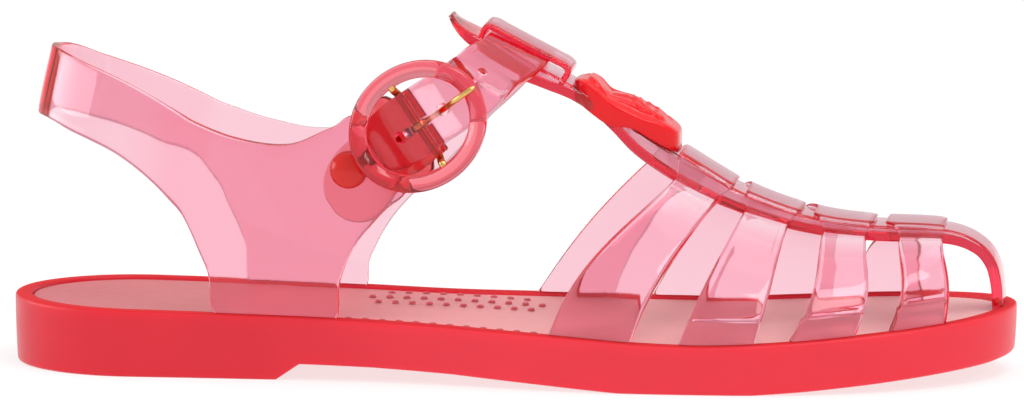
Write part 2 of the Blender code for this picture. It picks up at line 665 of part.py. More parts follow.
def strap_columns():
    """Ankle strap from the medial quarter over the instep to the buckle."""
    rows = np.array(STRAP)
    end = buckle(17.0, 0.0, STRAP_IN_BUCKLE[0][1])
    rows = np.vstack([rows, np.concatenate([end, OUT])])
    knots = np.concatenate([[0.0], np.cumsum(np.linalg.norm(np.diff(rows[:, :3], axis=0), axis=1))])
    curves = [smooth(knots, rows[:, k]) for k in range(6)]
    marks = sorted(set(list(knots[:-1]) + list(0.5 * (knots[1:] + knots[:-1]))))
    columns = []
    for m in marks:
        a, b = max(m - 1.0, 0.0), min(m + 1.0, knots[-1])
        p = np.array([c(m) for c in curves[:3]])
        path = np.array([c(b) - c(a) for c in curves[:3]])
        n = np.array([c(m) for c in curves[3:]])
        front = unit(np.cross(n, path))
        columns.append([p + front * STRAP_HALF * (2 * r - 1) for r in ROWS])
    return columns


def quarter_sheet():
    """Buckle tab, quarters, sling and ankle strap as one folded sheet."""
    columns, walls = [], []

    def add(points, wall):
        columns.append(points)
        walls.append(wall)

    for s, out, half, mid in TAB_BACK:
        add([quarter_point(s, mid + half * (2 * r - 1), out) for r in ROWS], WALL_TAB)
    turn = BAR_R + GAP + 0.5 * WALL_TAB
    for k in range(7):
        w = math.radians(-90 + 30 * k)
        add([buckle(turn * math.cos(w), TAB_HALF * (2 * r - 1), BAR_OUT + turn * math.sin(w))
             for r in ROWS], WALL_TAB)
    for s, out, half in TAB_FRONT:
        add([quarter_point(s, half * (2 * r - 1), out) for r in ROWS], WALL_TAB)
    for row in QUARTER_LATERAL:
        add(quarter_column(*row, -1), WALL_QUARTER)
    for angle in (90, 78, 66, 54, 42, 30, 20, 10):
        add(sling_column(angle, -1), WALL_QUARTER)
    for angle in (0, 10, 20, 30, 42, 54, 66, 78, 90):
        add(sling_column(angle, 1), WALL_QUARTER)
    for row in QUARTER_MEDIAL:
        add(quarter_column(*row, 1), WALL_QUARTER)
    for points in strap_columns():
        add(points, WALL_STRAP)
    for s, out, half in STRAP_IN_BUCKLE:
        add([buckle(s, half * (2 * r - 1), out) for r in ROWS], WALL_STRAP)
    grid = np.array(columns)
    half = 0.5 * np.array(walls)
    return sheet("upper_quarter", grid, half, half)


def strap_out(s):
    rows = STRAP_IN_BUCKLE[::-1]
    return float(np.interp(s, column(LOOP_COLS, rows, "s"), column(LOOP_COLS, rows, "out")))


def strap_hole(name, s):
    """Cutter for a prong hole, square to the strap."""
    slope = (strap_out(s + 1) - strap_out(s - 1)) / 2
    axis = OUT - ALONG * slope
    h = 0.5 * WALL_STRAP + 0.25
    return lathe(name, buckle(s, 0.0, strap_out(s)), axis,
                 [(HOLE_R, -h), (HOLE_R, h)], 12)


# ------------------------------------------------------------ buckle, rivet, badge
def buckle_ring():
    verts, faces = [], []
    turns, sides = 40, 10
    for i in range(turns):
        w = 2 * math.pi * i / turns
        for k in range(sides):
            v = 2 * math.pi * k / sides
            dr = RING_HALF * math.copysign(abs(math.cos(v)) ** 0.75, math.cos(v))
            o = RING_OUT + RING_THICK * math.copysign(abs(math.sin(v)) ** 0.75, math.sin(v))
            verts.append(buckle(RING_S + (RING_RS + dr) * math.cos(w),
                                (RING_RT + dr) * math.sin(w), o))
    for i in range(turns):
        for k in range(sides):
            a, b = (i + 1) % turns, (k + 1) % sides
            faces.append((i * sides + k, a * sides + k, a * sides + b, i * sides + b))
    return add_object("buckle_ring", verts, faces)


def buckle_bar():
    """Bar across the ring, bowed inward so that the tab can turn round it."""
    reach = RING_RT - RING_HALF - GAP
    path = [(-reach, RING_OUT), (-reach + 0.6, RING_OUT - 0.2), (-reach + 1.2, RING_OUT - 0.9),
            (-reach + 1.6, BAR_OUT + 0.8), (-reach + 2.2, BAR_OUT)]
    path += [(t, BAR_OUT) for t in (-6.0, -2.0, 2.0, 6.0)]
    path += [(-t, o) for t, o in path[4::-1]]
    return tube("buckle_bar", [buckle(0.0, t, o) for t, o in path], BAR_R, 10, ALONG)


def buckle_prong():
    """Eye round the bar and an arm that lies on the ring."""
    arm = tube("buckle_prong", [buckle(s, 0.0, o) for s, o in PRONG], PRONG_R, 10, SIDE)
    verts, faces, sides, width = [], [], 20, 1.0
    for r, t in ((BAR_R + GAP, -width), (2.25, -width), (2.25, width), (BAR_R + GAP, width)):
        for k in range(sides):
            w = 2 * math.pi * k / sides
            verts.append(buckle(r * math.cos(w), t, BAR_OUT + r * math.sin(w)))
    for i in range(4):
        for k in range(sides):
            j, m = (i + 1) % 4, (k + 1) % sides
            faces.append((i * sides + k, i * sides + m, j * sides + m, j * sides + k))
    eye = add_object("prong_eye", verts, faces)
    combine(arm, eye, "UNION")
    return arm


def rivet():
    base = 0.5 * WALL_QUARTER + 2 * GAP
    back = -2.35 - 0.5 * WALL_TAB - 2 * GAP
    profile = [(2.6, back - 1.0), (3.6, back - 0.8), (3.6, back), (1.9, back),
               (1.9, base), (RIVET_R, base), (RIVET_R, base + 0.7)]
    profile += [(RIVET_R * math.cos(w), base + 0.7 + 2.4 * math.sin(w))
                for w in (math.radians(a) for a in (20, 38, 55, 72))]
    return lathe("rivet", quarter_point(RIVET_S, RIVET_T, 0.0), OUT, profile, 20)


def badge_z(x, y, level):
    """Height of the badge: its base follows the T-bar's flanks, its top is crowned."""
    p = ridge_at(x)
    drop = ridge_crown(p) * flank_drop(abs(y) / ridge_half(p)) / ridge_normal(p)[2]
    base = 0.5 - drop * (1 - ease(161.0, 167.0, x))
    heights = (base, badge_edge(x), badge_crown(x))
    return ridge_top(p) + float(np.interp(level, (0.0, 1.0, 2.0), heights))


def badge():
    verts, faces, n = [], [], 36
    mid, reach = 0.5 * (BADGE_X0 + BADGE_X1), 0.5 * (BADGE_X1 - BADGE_X0)
    for share, level, rise in BADGE:
        for k in range(n):
            w = 2 * math.pi * k / n
            c, s = math.cos(w), math.sin(w)
            x = mid + share * reach * math.copysign(abs(c) ** (2 / BADGE_POWER), c)
            y = share * BADGE_HALF * math.copysign(abs(s) ** (2 / BADGE_POWER), s)
            verts.append((x, y + middle_line(x), badge_z(x, y, level) + rise))
    for i in range(len(BADGE) - 1):
        for k in range(n):
            m = (k + 1) % n
            faces.append((i * n + k, i * n + m, (i + 1) * n + m, (i + 1) * n + k))
    for base, flip in ((0, True), ((len(BADGE) - 1) * n, False)):
        for k in range(n // 2):
            quad = list(dict.fromkeys([k, k + 1, (n - k - 1) % n, (n - k) % n]))
            face = tuple(base + q for q in quad)
            faces.append(face[::-1] if flip else face)
    return add_object("badge", verts, faces)


# ------------------------------------------------------------ build
def main():
    for obj in list(bpy.data.objects):
        bpy.data.objects.remove(obj, do_unlink=True)

    pieces = [moulded_plate("sole", SOLE_SECTION), moulded_plate("insole", FOOTBED_SECTION)]

    vamp = tbar()
    for index in range(len(BANDS)):
        combine(vamp, band(index), "UNION")
    combine(vamp, keeper(), "UNION")
    pieces.append(vamp)

    quarter = quarter_sheet()
    for index, s in enumerate((7.4, -4.6), 1):
        combine(quarter, strap_hole("prong_hole_%d" % index, s), "DIFFERENCE")
    slot = lathe("prong_slot", buckle(0.0, 0.0, BAR_OUT), SIDE, [(3.2, -1.5), (3.2, 1.5)], 20)
    combine(quarter, slot, "DIFFERENCE")
    rivet_hole = lathe("rivet_hole", quarter_point(RIVET_S, RIVET_T, 0.0), OUT,
                       [(2.2, -4.2), (2.2, 2.0)], 16)
    combine(quarter, rivet_hole, "DIFFERENCE")
    pieces.append(quarter)

    pieces += [badge(), buckle_ring(), buckle_bar(), buckle_prong(), rivet()]
    for piece in pieces:
        finish(piece)


main()
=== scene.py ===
"""Looks of a buckled moulded fisherman sandal for the right foot.

+X points to the toe, +Y to the medial side, +Z up.  Lengths in the tables are
millimetres from the back of the heel; MM and ORIGIN turn them into the part's
frame, in metres about the middle of the sole.
"""
import math

import bmesh
import bpy
import numpy as np
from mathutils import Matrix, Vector


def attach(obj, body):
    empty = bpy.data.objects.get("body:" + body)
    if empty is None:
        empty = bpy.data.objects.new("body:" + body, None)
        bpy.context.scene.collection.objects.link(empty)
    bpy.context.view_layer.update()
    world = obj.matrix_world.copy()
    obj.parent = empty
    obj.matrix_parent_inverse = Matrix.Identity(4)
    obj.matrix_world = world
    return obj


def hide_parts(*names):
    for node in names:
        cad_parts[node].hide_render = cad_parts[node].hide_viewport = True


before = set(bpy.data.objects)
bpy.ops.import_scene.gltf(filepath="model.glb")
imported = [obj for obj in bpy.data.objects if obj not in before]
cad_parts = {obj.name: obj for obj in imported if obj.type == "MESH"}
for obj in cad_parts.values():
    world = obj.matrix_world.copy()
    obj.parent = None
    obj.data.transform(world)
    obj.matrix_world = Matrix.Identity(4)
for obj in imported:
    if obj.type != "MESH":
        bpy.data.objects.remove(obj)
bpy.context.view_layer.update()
SCENE = bpy.context.scene

# ------------------------------------------------------------ sizes, as in the part
MM = 0.001
LENGTH = 255.0
HEEL_REACH, TOE_REACH, TOE_POWER = 33.0, 70.0, 2.1
SINK = 0.7                # feet of the upper run this far into the rim
RIM_WIDTH, RIM_DRAFT, RECESS, FOOTBED_DROP = 4.2, 0.5, 2.8, 0.7
UPPER_INSET = 2.0
WALL_VAMP, WALL_QUARTER = 2.2, 2.2
WALL_STRAP, WALL_TAB, WALL_KEEPER = 2.1, 1.7, 1.5
TAB_END = 0.6             # wall of the tab's end, under the rivet
PAD_RISE = 1.1
WALL_NEAR, WALL_FAR, WALL_SLING = 2.7, 1.5, 1.8
KEEPER_X0, KEEPER_X1 = 119.2, 141.6
KEEPER_RISE = (4.5, 4.15)
BUCKLE_C = (107.5, -29.8, 65.3)
BUCKLE_OUT = (-0.05, -0.99, 0.08)
STRAP_RISE_DEG = 35.0
RING_RS, RING_RT, RING_HALF, RING_OUT, RING_S = 16.0, 13.75, 2.1, 5.4, 0.1
BAR_R, BAR_OUT, PRONG_R = 1.0, 2.6, 0.75
STRAP_HALF, HOLE_R = 8.4, 1.65
STRAP_T = -0.9            # of the strap's middle, across the buckle
RIVET_S, RIVET_T, RIVET_R = -21.5, -0.9, 4.75

OUTLINE_COLS = ("x", "lateral", "medial", "middle")
OUTLINE = [
    (0.0, 31.0, 31.0, 0.0), (45.0, 31.0, 31.0, 0.0), (75.0, 31.6, 29.4, 0.0),
    (105.0, 34.2, 27.6, 0.0), (130.0, 39.2, 31.4, 0.0), (150.0, 42.8, 36.8, 0.3),
    (168.0, 44.6, 40.6, 0.8), (185.0, 45.0, 42.0, 1.4), (205.0, 44.6, 42.0, 2.2),
    (255.0, 43.0, 41.0, 4.5),
]
RIM_COLS = ("x", "z")
RIM = [
    (0.0, 17.5), (40.0, 16.9), (60.0, 16.5), (90.0, 15.9), (125.0, 14.7),
    (145.0, 13.8), (162.0, 12.8), (178.0, 12.4), (200.0, 13.3), (222.0, 14.9),
    (240.0, 16.3), (255.0, 17.7),
]
FLOOR_COLS = ("x", "z")
FLOOR = [
    (0.0, 0.0), (70.5, 0.0), (76.5, 4.1), (95.0, 3.8), (116.0, 2.9),
    (140.0, 1.3), (158.0, 0.0), (192.0, 0.0), (205.0, 0.8), (222.0, 2.2),
    (235.0, 3.4), (249.0, 4.7), (255.0, 5.6),
]
RIDGE_COLS = ("x", "z", "half", "crown")
RIDGE = [
    (112.2, 90.2, 3.4, 0.3), (113.3, 88.7, 5.0, 0.4), (114.9, 87.4, 6.6, 0.5),
    (116.6, 86.4, 7.6, 0.6), (118.6, 85.4, 8.1, 0.9), (124.0, 82.8, 8.2, 2.5),
    (131.0, 79.3, 8.2, 3.5), (138.0, 75.8, 8.2, 2.6), (145.3, 71.7, 8.2, 1.2),
    (150.0, 68.9, 8.2, 1.3), (155.5, 65.0, 8.2, 2.4), (162.0, 60.5, 8.3, 4.4),
    (168.0, 57.0, 8.3, 5.2), (172.0, 54.7, 8.3, 5.4),
    (178.0, 51.0, 8.3, 5.0), (184.0, 47.4, 8.3, 4.1), (193.0, 43.5, 8.3, 3.2),
    (201.0, 40.9, 8.3, 2.8), (212.0, 38.8, 8.3, 2.3), (222.0, 38.0, 8.3, 2.1),
    (230.0, 37.8, 8.2, 2.0), (237.0, 37.3, 8.0, 1.8), (241.0, 36.4, 7.7, 1.5),
    (245.0, 34.6, 7.3, 1.2), (248.5, 31.6, 7.0, 0.9), (250.9, 27.0, 6.8, 0.8),
    (251.8, 21.5, 6.7, 0.7), (252.0, 16.6, 6.7, 0.6),
]
BANDS = [(170.3, 184.0, 1.75), (187.0, 201.0, 1.80), (204.0, 219.4, 1.90), (222.2, 237.0, 2.00)]
# shift where the back and front edge leave the T-bar, feet on the rim, bow
BAND_LATERAL = [
    (2.2, -2.1, 140.3, 161.4, -4.8, -2.3), (1.6, -2.0, 173.6, 192.6, -0.8, 0.5),
    (3.4, -1.3, 201.4, 217.9, 2.4, 2.5), (3.9, 0.4, 226.3, 239.5, 2.7, 1.7),
]
BAND_MEDIAL = [
    (-5.3, -7.1, 130.3, 149.8, -2.3, -4.8), (-5.1, -5.6, 159.0, 174.5, -1.3, -3.5),
    (-6.1, -6.2, 187.3, 205.0, -1.4, -2.0), (0.0, -2.5, 213.4, 229.0, -3.7, -3.7),
]
SLING_COLS = ("angle", "lat_low", "lat_top", "med_low", "med_top")
SLING = [
    (0.0, 63.0, 80.8, 63.0, 80.8), (20.0, 63.0, 80.3, 62.8, 79.8),
    (45.0, 60.4, 77.9, 59.3, 75.6), (70.0, 55.0, 73.2, 54.3, 70.2),
    (90.0, 44.8, 67.0, 48.3, 64.6),
]
SLING_REACH = 38.0
HEEL_COLS = ("z", "back", "half")
HEEL = [(45.0, 5.2, 26.0), (63.0, 7.1, 25.8), (81.0, 10.9, 24.2)]
ANKLE_COLS = ("x", "lateral", "medial")
ANKLE = [
    (45.0, 26.0, 26.0), (65.0, 26.8, 26.3), (88.0, 28.6, 27.2),
    (107.0, 29.8, 28.4), (120.0, 30.2, 28.8),
]
# quarters: lower x, lower z (0 stands on the rim), top x, top z
QUARTER_LATERAL = [
    (99.1, 44.2, 86.0, 65.0), (95.0, 39.8, 82.9, 63.5), (91.9, 36.2, 80.2, 62.2),
    (88.7, 30.6, 77.6, 60.9), (86.6, 24.5, 75.2, 60.1), (85.7, 0.0, 72.8, 59.7),
    (79.5, 0.0, 70.2, 59.6), (73.0, 0.0, 67.4, 59.8), (66.5, 0.0, 64.4, 60.2),
    (60.5, 0.0, 61.4, 60.8), (55.2, 0.0, 58.6, 61.5), (53.0, 27.0, 55.8, 62.4),
    (50.8, 32.0, 53.4, 63.3), (48.6, 37.0, 51.0, 64.3), (46.2, 41.5, 48.8, 65.3),
]
QUARTER_MEDIAL = [
    (46.4, 44.6, 49.0, 62.8), (49.0, 41.0, 53.0, 61.4), (51.3, 35.5, 57.0, 60.0),
    (53.6, 30.5, 61.0, 58.8), (55.4, 26.0, 64.5, 58.0), (56.6, 0.0, 67.5, 57.3),
    (63.0, 0.0, 70.0, 56.8), (70.0, 0.0, 72.5, 56.5), (78.0, 0.0, 75.2, 56.4),
    (86.6, 0.0, 78.0, 56.5), (87.3, 22.0, 80.5, 57.0), (88.8, 25.5, 83.0, 57.9),
    (90.8, 29.5, 85.4, 59.0), (93.7, 34.0, 87.8, 60.3), (97.5, 38.4, 90.2, 61.8),
    (101.8, 42.5, 92.8, 63.5), (106.0, 46.6, 95.8, 65.6), (109.8, 50.4, 99.4, 68.0),
    (113.6, 54.4, 103.4, 70.6),
]
# ankle strap: middle of the strap and its outward direction
STRAP = [
    (112.8, 28.8, 66.0, 0.02, 0.97, 0.22), (118.6, 27.2, 71.2, 0.08, 0.90, 0.42),
    (123.4, 22.4, 76.0, 0.20, 0.70, 0.68), (127.2, 15.0, 79.7, 0.34, 0.38, 0.86),
    (129.2, 9.0, 81.7, 0.42, 0.06, 0.90), (129.5, 0.0, 81.8, 0.44, 0.00, 0.90),
    (129.3, -9.0, 81.7, 0.42, -0.06, 0.90), (127.6, -15.0, 80.6, 0.36, -0.30, 0.88),
    (124.8, -22.0, 79.5, 0.26, -0.62, 0.74), (122.8, -27.4, 77.8, 0.12, -0.86, 0.50),
]
# along the strap from the bar, rise, half width (and offset of the middle)
STRAP_IN_BUCKLE = [
    (17.0, 1.9, 8.4), (14.0, 2.05, 8.4), (12.0, 2.1, 8.4), (10.0, 2.3, 8.4),
    (8.5, 2.9, 8.4), (7.0, 3.9, 8.4), (5.0, 5.2, 8.4), (3.0, 6.3, 8.4),
    (1.2, 6.75, 8.4), (-1.2, 6.75, 8.4), (-3.0, 6.3, 8.4), (-5.0, 5.2, 8.3),
    (-7.0, 3.9, 8.3), (-8.5, 2.9, 8.2), (-10.0, 2.3, 7.8), (-12.0, 2.15, 6.6),
    (-14.0, 2.15, 4.6), (-15.2, 2.15, 2.2),
]
TAB_BACK = [
    (-31.2, -2.35, 2.2, 3.9), (-30.2, -2.35, 4.7, 3.9), (-28.0, -2.35, 7.3, 3.8),
    (-25.0, -2.35, 8.9, 3.5), (-21.5, -2.35, 9.5, 2.9), (-17.0, -2.35, 9.2, 1.9),
    (-13.0, -2.3, 8.9, 0.8), (-10.0, -2.2, 9.0, 0.2), (-8.5, -1.95, 9.1, 0.0),
    (-7.0, -1.4, 9.2, 0.0), (-5.0, -0.5, 9.2, 0.0), (-2.6, 0.2, 9.0, 0.0),
]
TAB_FRONT = [
    (-1.6, 4.5, 9.4), (-2.8, 4.05, 11.0), (-4.0, 3.4, 11.3), (-5.5, 2.45, 11.2), (-7.0, 1.45, 11.1),
    (-8.5, 0.55, 11.0), (-10.0, 0.1, 11.2), (-12.0, 0.0, 11.6), (-13.4, 0.0, 12.0),
]
TAB_HALF = 9.0            # of the turn round the bar
QUARTER_FRONT = [(-13.5, 0.0, 12.0), (-14.0, 0.0, 12.2)]
PRONG = [
    (1.9, 2.7), (4.5, 2.75), (7.0, 3.4), (9.4, 5.1), (11.8, 7.2),
    (13.9, 8.15), (16.0, 8.4), (18.1, 7.9),
]
# badge: share of the plan size, level (0 base, 1 edge, 2 crown), rise
BADGE = [
    (0.20, 0.0, -0.3), (0.62, 0.0, -0.3), (0.83, 0.0, -0.3), (0.95, 0.0, -0.35), (0.985, 0.0, -0.2),
    (1.0, 0.0, 0.2), (1.0, 0.35, 0.0), (1.0, 0.70, 0.0), (1.0, 1.0, -0.75), (0.992, 1.0, -0.40),
    (0.972, 1.0, -0.12), (0.94, 1.0, 0.03), (0.90, 1.05, 0.08), (0.85, 1.20, 0.08), (0.83, 1.27, -0.02),
    (0.81, 1.32, -0.30), (0.78, 1.40, -0.36), (0.74, 1.50, -0.30), (0.72, 1.58, 0.0),
    (0.70, 1.66, 0.12), (0.60, 1.80, 0.14), (0.57, 1.84, 0.0), (0.55, 1.86, -0.22), (0.50, 1.90, -0.28),
    (0.34, 1.96, -0.28), (0.30, 1.97, -0.20), (0.27, 1.98, 0.05), (0.12, 2.0, 0.12),
]
# height of its edge and of its crown above the ridge: a knob, a dip and a plate
BADGE_TOP_COLS = ("x", "edge", "crown")
BADGE_TOP = [
    (143.6, 1.4, 2.2), (145.0, 2.2, 3.6), (147.2, 2.9, 4.9), (149.2, 2.7, 4.7),
    (151.8, 2.1, 3.3), (154.0, 2.2, 4.1), (156.5, 2.6, 5.4), (160.7, 3.6, 6.6),
    (165.8, 5.2, 6.8), (168.0, 5.4, 6.6), (170.0, 5.2, 6.0),
]
FLANK = [(0.0, 0.0), (0.62, 0.06), (0.81, 0.42), (1.0, 1.0)]     # of the T-bar, under the badge
BADGE_X0, BADGE_X1, BADGE_HALF, BADGE_POWER = 143.3, 170.0, 8.45, 4.2


# ------------------------------------------------------------ small tools
def column(cols, rows, name):
    return [row[cols.index(name)] for row in rows]


def smooth(xs, ys):
    """Curve through the points that never overshoots them."""
    xs, ys = np.asarray(xs, float), np.asarray(ys, float)
    h = np.diff(xs)
    d = np.diff(ys) / h
    m = np.zeros(len(xs))
    m[0], m[-1] = d[0], d[-1]
    for i in range(1, len(xs) - 1):
        if d[i - 1] * d[i] > 0:
            w1, w2 = 2 * h[i] + h[i - 1], h[i] + 2 * h[i - 1]
            m[i] = (w1 + w2) / (w1 / d[i - 1] + w2 / d[i])

    def at(x):
        x = min(max(x, xs[0]), xs[-1])
        i = min(max(int(np.searchsorted(xs, x, side="right")) - 1, 0), len(h) - 1)
        t = (x - xs[i]) / h[i]
        a, b = t * t * (3 - 2 * t), t * (1 - t)
        return float(ys[i] * (1 - a) + ys[i + 1] * a
                     + h[i] * b * ((1 - t) * m[i] - t * m[i + 1]))
    return at


def table(cols, rows, key, name):
    return smooth(column(cols, rows, key), column(cols, rows, name))


def ease(a, b, x):
    t = min(max((x - a) / (b - a), 0.0), 1.0)
    return t * t * (3 - 2 * t)


def unit(v):
    v = np.asarray(v, float)
    return v / np.linalg.norm(v)


lateral_half = table(OUTLINE_COLS, OUTLINE, "x", "lateral")
medial_half = table(OUTLINE_COLS, OUTLINE, "x", "medial")
middle_line = table(OUTLINE_COLS, OUTLINE, "x", "middle")
rim_z = table(RIM_COLS, RIM, "x", "z")
heel_back = table(HEEL_COLS, HEEL, "z", "back")
heel_half = table(HEEL_COLS, HEEL, "z", "half")
ankle_lateral = table(ANKLE_COLS, ANKLE, "x", "lateral")
ankle_medial = table(ANKLE_COLS, ANKLE, "x", "medial")


def floor_z(x):
    return float(np.interp(x, column(FLOOR_COLS, FLOOR, "x"), column(FLOOR_COLS, FLOOR, "z")))


# ------------------------------------------------------------ meshes
def add_mesh(name, verts, faces, sharp=40.0, quads=True):
    mesh = bpy.data.meshes.new(name)
    co = (np.asarray(verts, float) - ORIGIN) * MM
    mesh.from_pydata([tuple(v) for v in co], [], faces)
    bm = bmesh.new()
    bm.from_mesh(mesh)
    bmesh.ops.remove_doubles(bm, verts=bm.verts, dist=1e-7)
    bmesh.ops.recalc_face_normals(bm, faces=bm.faces)
    bm.to_mesh(mesh)
    bm.free()
    obj = bpy.data.objects.new(name, mesh)
    SCENE.collection.objects.link(obj)
    shade(obj, sharp)
    return obj


def shade(obj, sharp):
    obj.data.shade_smooth()
    obj.data.set_sharp_from_angle(angle=math.radians(sharp))


def join(obj, tools, operation, sharp=40.0):
    """Boolean with each tool in turn, applied; the tools are removed."""
    for tool in tools:
        mod = obj.modifiers.new(tool.name, "BOOLEAN")
        mod.operation, mod.solver, mod.object = operation, "EXACT", tool
    graph = bpy.context.evaluated_depsgraph_get()
    mesh = bpy.data.meshes.new_from_object(obj.evaluated_get(graph))
    obj.modifiers.clear()
    old, obj.data = obj.data, mesh
    mesh.name = obj.name
    bpy.data.meshes.remove(old)
    for tool in tools:
        data = tool.data
        bpy.data.objects.remove(tool, do_unlink=True)
        bpy.data.meshes.remove(data)
    bm = bmesh.new()
    bm.from_mesh(mesh)
    bmesh.ops.remove_doubles(bm, verts=bm.verts, dist=2e-6)
    bmesh.ops.dissolve_degenerate(bm, edges=bm.edges, dist=2e-6)
    bmesh.ops.triangulate(bm, faces=[f for f in bm.faces if len(f.verts) > 4])
    bm.to_mesh(mesh)
    bm.free()
    shade(obj, sharp)
    return obj


def sheet_faces(rows, cols):
    """Faces of a closed sheet: outer grid first, then the inner grid."""
    inner = cols * rows
    faces = []
    for i in range(cols - 1):
        a, b = i * rows, (i + 1) * rows
        for j in range(rows - 1):
            faces.append((a + j, b + j, b + j + 1, a + j + 1))
            faces.append((inner + a + j + 1, inner + b + j + 1, inner + b + j, inner + a + j))
        e = rows - 1
        faces.append((inner + a, inner + b, b, a))
        faces.append((a + e, b + e, inner + b + e, inner + a + e))
    e = (cols - 1) * rows
    for j in range(rows - 1):
        faces.append((inner + j + 1, inner + j, j, j + 1))
        faces.append((inner + e + j, inner + e + j + 1, e + j + 1, e + j))
    return faces


def grid_normals(grid):
    n = np.cross(np.gradient(grid, axis=0), np.gradient(grid, axis=1))
    return n / np.linalg.norm(n, axis=2, keepdims=True)


EDGE = np.array([0.0, 0.08, 0.22, 0.43, 0.70])     # rows near a moulded edge
EDGE_R = 0.70
INNER_ROWS = 11


def shares(width, inner=INNER_ROWS):
    """Row positions across a strip, dense near its edges, and distances from them."""
    scale = min(1.0, width / (3.0 * EDGE_R))
    edge = EDGE * scale
    mid = np.linspace(edge[-1], width - edge[-1], inner + 2)[1:-1]
    d = np.concatenate([edge, mid, (width - edge)[::-1]])
    return d / width, np.minimum(d, width - d)


def rounding(d):
    """Half thickness left at a distance from an edge, as a share."""
    q = 1.0 - np.clip(d / EDGE_R, 0.0, 1.0)
    return 0.30 + 0.70 * np.sqrt(1.0 - q * q)


def soft_sheet(name, grid, wall, dist, ends, face="middle", sharp=40.0, n=None):
    """Closed strip with moulded edges: wall thickness about a grid of points."""
    n = grid_normals(grid) if n is None else n
    wall = np.asarray(wall, float).reshape(-1, 1, 1)
    mid = grid - n * (0.5 * wall) if face == "outer" else grid
    half = 0.5 * wall * rounding(dist)[:, :, None] * rounding(ends)[:, None, None]
    cols, rows = grid.shape[:2]
    verts = np.concatenate([(mid + n * half).reshape(-1, 3), (mid - n * half).reshape(-1, 3)])
    return add_mesh(name, verts, sheet_faces(rows, cols), sharp)


def resample(columns, step, round_ends=(True, True)):
    """Smooth curve through the columns of a strip, cut every step."""
    c = np.array(columns)
    h = np.maximum(np.linalg.norm(np.diff(c[:, :, :3], axis=0), axis=2).mean(1), 1e-6)
    t = np.concatenate([[0.0], np.cumsum(h)])
    d = np.diff(c, axis=0) / h[:, None, None]
    m = np.empty_like(c)
    m[0], m[-1] = d[0], d[-1]
    a, b = h[:-1, None, None], h[1:, None, None]
    m[1:-1] = (b * d[:-1] + a * d[1:]) / (a + b)
    marks = [t[0]]
    for i in range(len(h)):
        k = max(1, int(math.ceil(h[i] / step)))
        marks += [t[i] + h[i] * (q + 1) / k for q in range(k)]
    if round_ends[0]:
        marks += list(t[0] + EDGE[1:])
    if round_ends[1]:
        marks += list(t[-1] - EDGE[1:])
    marks = np.unique(np.round(marks, 4))
    i = np.clip(np.searchsorted(t, marks, side="right") - 1, 0, len(h) - 1)
    q = ((marks - t[i]) / h[i])[:, None, None]
    w = h[i][:, None, None]
    grid = (c[i] * (1 - q * q * (3 - 2 * q)) + c[i + 1] * (q * q * (3 - 2 * q))
            + w * q * (1 - q) * ((1 - q) * m[i] - q * m[i + 1]))
    ends = np.full(len(marks), 9.0)
    if round_ends[0]:
        ends = np.minimum(ends, marks - t[0])
    if round_ends[1]:
        ends = np.minimum(ends, t[-1] - marks)
    return grid, ends


def tube(name, path, radius, sides, across, sharp=50.0):
    """Round bar along a path; radius may change along it; across is off its plane."""
    path = np.asarray(path, float)
    radius = np.broadcast_to(np.asarray(radius, float), (len(path),))
    tangent = np.gradient(path, axis=0)
    verts, faces = [], []
    for p, t, r in zip(path, tangent, radius):
        t = unit(t)
        a = unit(np.cross(t, across))
        b = np.cross(t, a)
        for k in range(sides):
            w = 2 * math.pi * k / sides
            verts.append(p + r * (a * math.cos(w) + b * math.sin(w)))
    for i in range(len(path) - 1):
        for k in range(sides):
            m = (k + 1) % sides
            faces.append((i * sides + k, i * sides + m, (i + 1) * sides + m, (i + 1) * sides + k))
    last = (len(path) - 1) * sides
    faces.append(tuple(range(sides))[::-1])
    faces.append(tuple(last + k for k in range(sides)))
    return add_mesh(name, verts, faces, sharp)


def lathe(name, centre, axis, profile, sides, sharp=50.0):
    """Turned piece: profile rows of radius and height."""
    axis = unit(axis)
    a = unit(np.cross(axis, (0.3, 0.2, 0.9)))
    b = np.cross(axis, a)
    verts, faces = [], []
    for radius, height in profile:
        for k in range(sides):
            w = 2 * math.pi * k / sides
            verts.append(np.asarray(centre) + axis * height
                         + radius * (a * math.cos(w) + b * math.sin(w)))
    for i in range(len(profile) - 1):
        for k in range(sides):
            m = (k + 1) % sides
            faces.append((i * sides + k, i * sides + m, (i + 1) * sides + m, (i + 1) * sides + k))
    last = (len(profile) - 1) * sides
    faces.append(tuple(range(sides))[::-1])
    faces.append(tuple(last + k for k in range(sides)))
    return add_mesh(name, verts, faces, sharp)


def along(rows, step):
    """Points of a short table, smoothed and cut every step."""
    c = np.array(rows, float)[:, None, :]
    pad = np.concatenate([c, np.zeros((len(c), 1, max(0, 3 - c.shape[2])))], axis=2)
    grid, _ = resample(pad, step, (False, False))
    return grid[:, 0, :c.shape[2]]


# ------------------------------------------------------------ sole and footbed
def stations():
    out = []
    for i in range(41):
        w = 0.5 * math.pi * i / 40
        out.append((HEEL_REACH * (1 - math.cos(w)), math.sin(w)))
    mids = sorted(set([36.0 + 2.5 * k for k in range(60)] + column(FLOOR_COLS, FLOOR, "x")))
    out += [(x, 1.0) for x in mids if 34.0 < x < LENGTH - TOE_REACH - 1.0]
    for i in range(57):
        w = 0.5 * math.pi * i / 56
        out.append((LENGTH - TOE_REACH + TOE_REACH * math.sin(w) ** (2 / TOE_POWER),
                    max(math.cos(w), 0.0) ** (2 / TOE_POWER)))
    return out


def outline():
    st = stations()
    lat = [(x, middle_line(x) - f * lateral_half(x)) for x, f in st]
    med = [(x, middle_line(x) + f * medial_half(x)) for x, f in st]
    return np.array(lat + med[-2:0:-1])


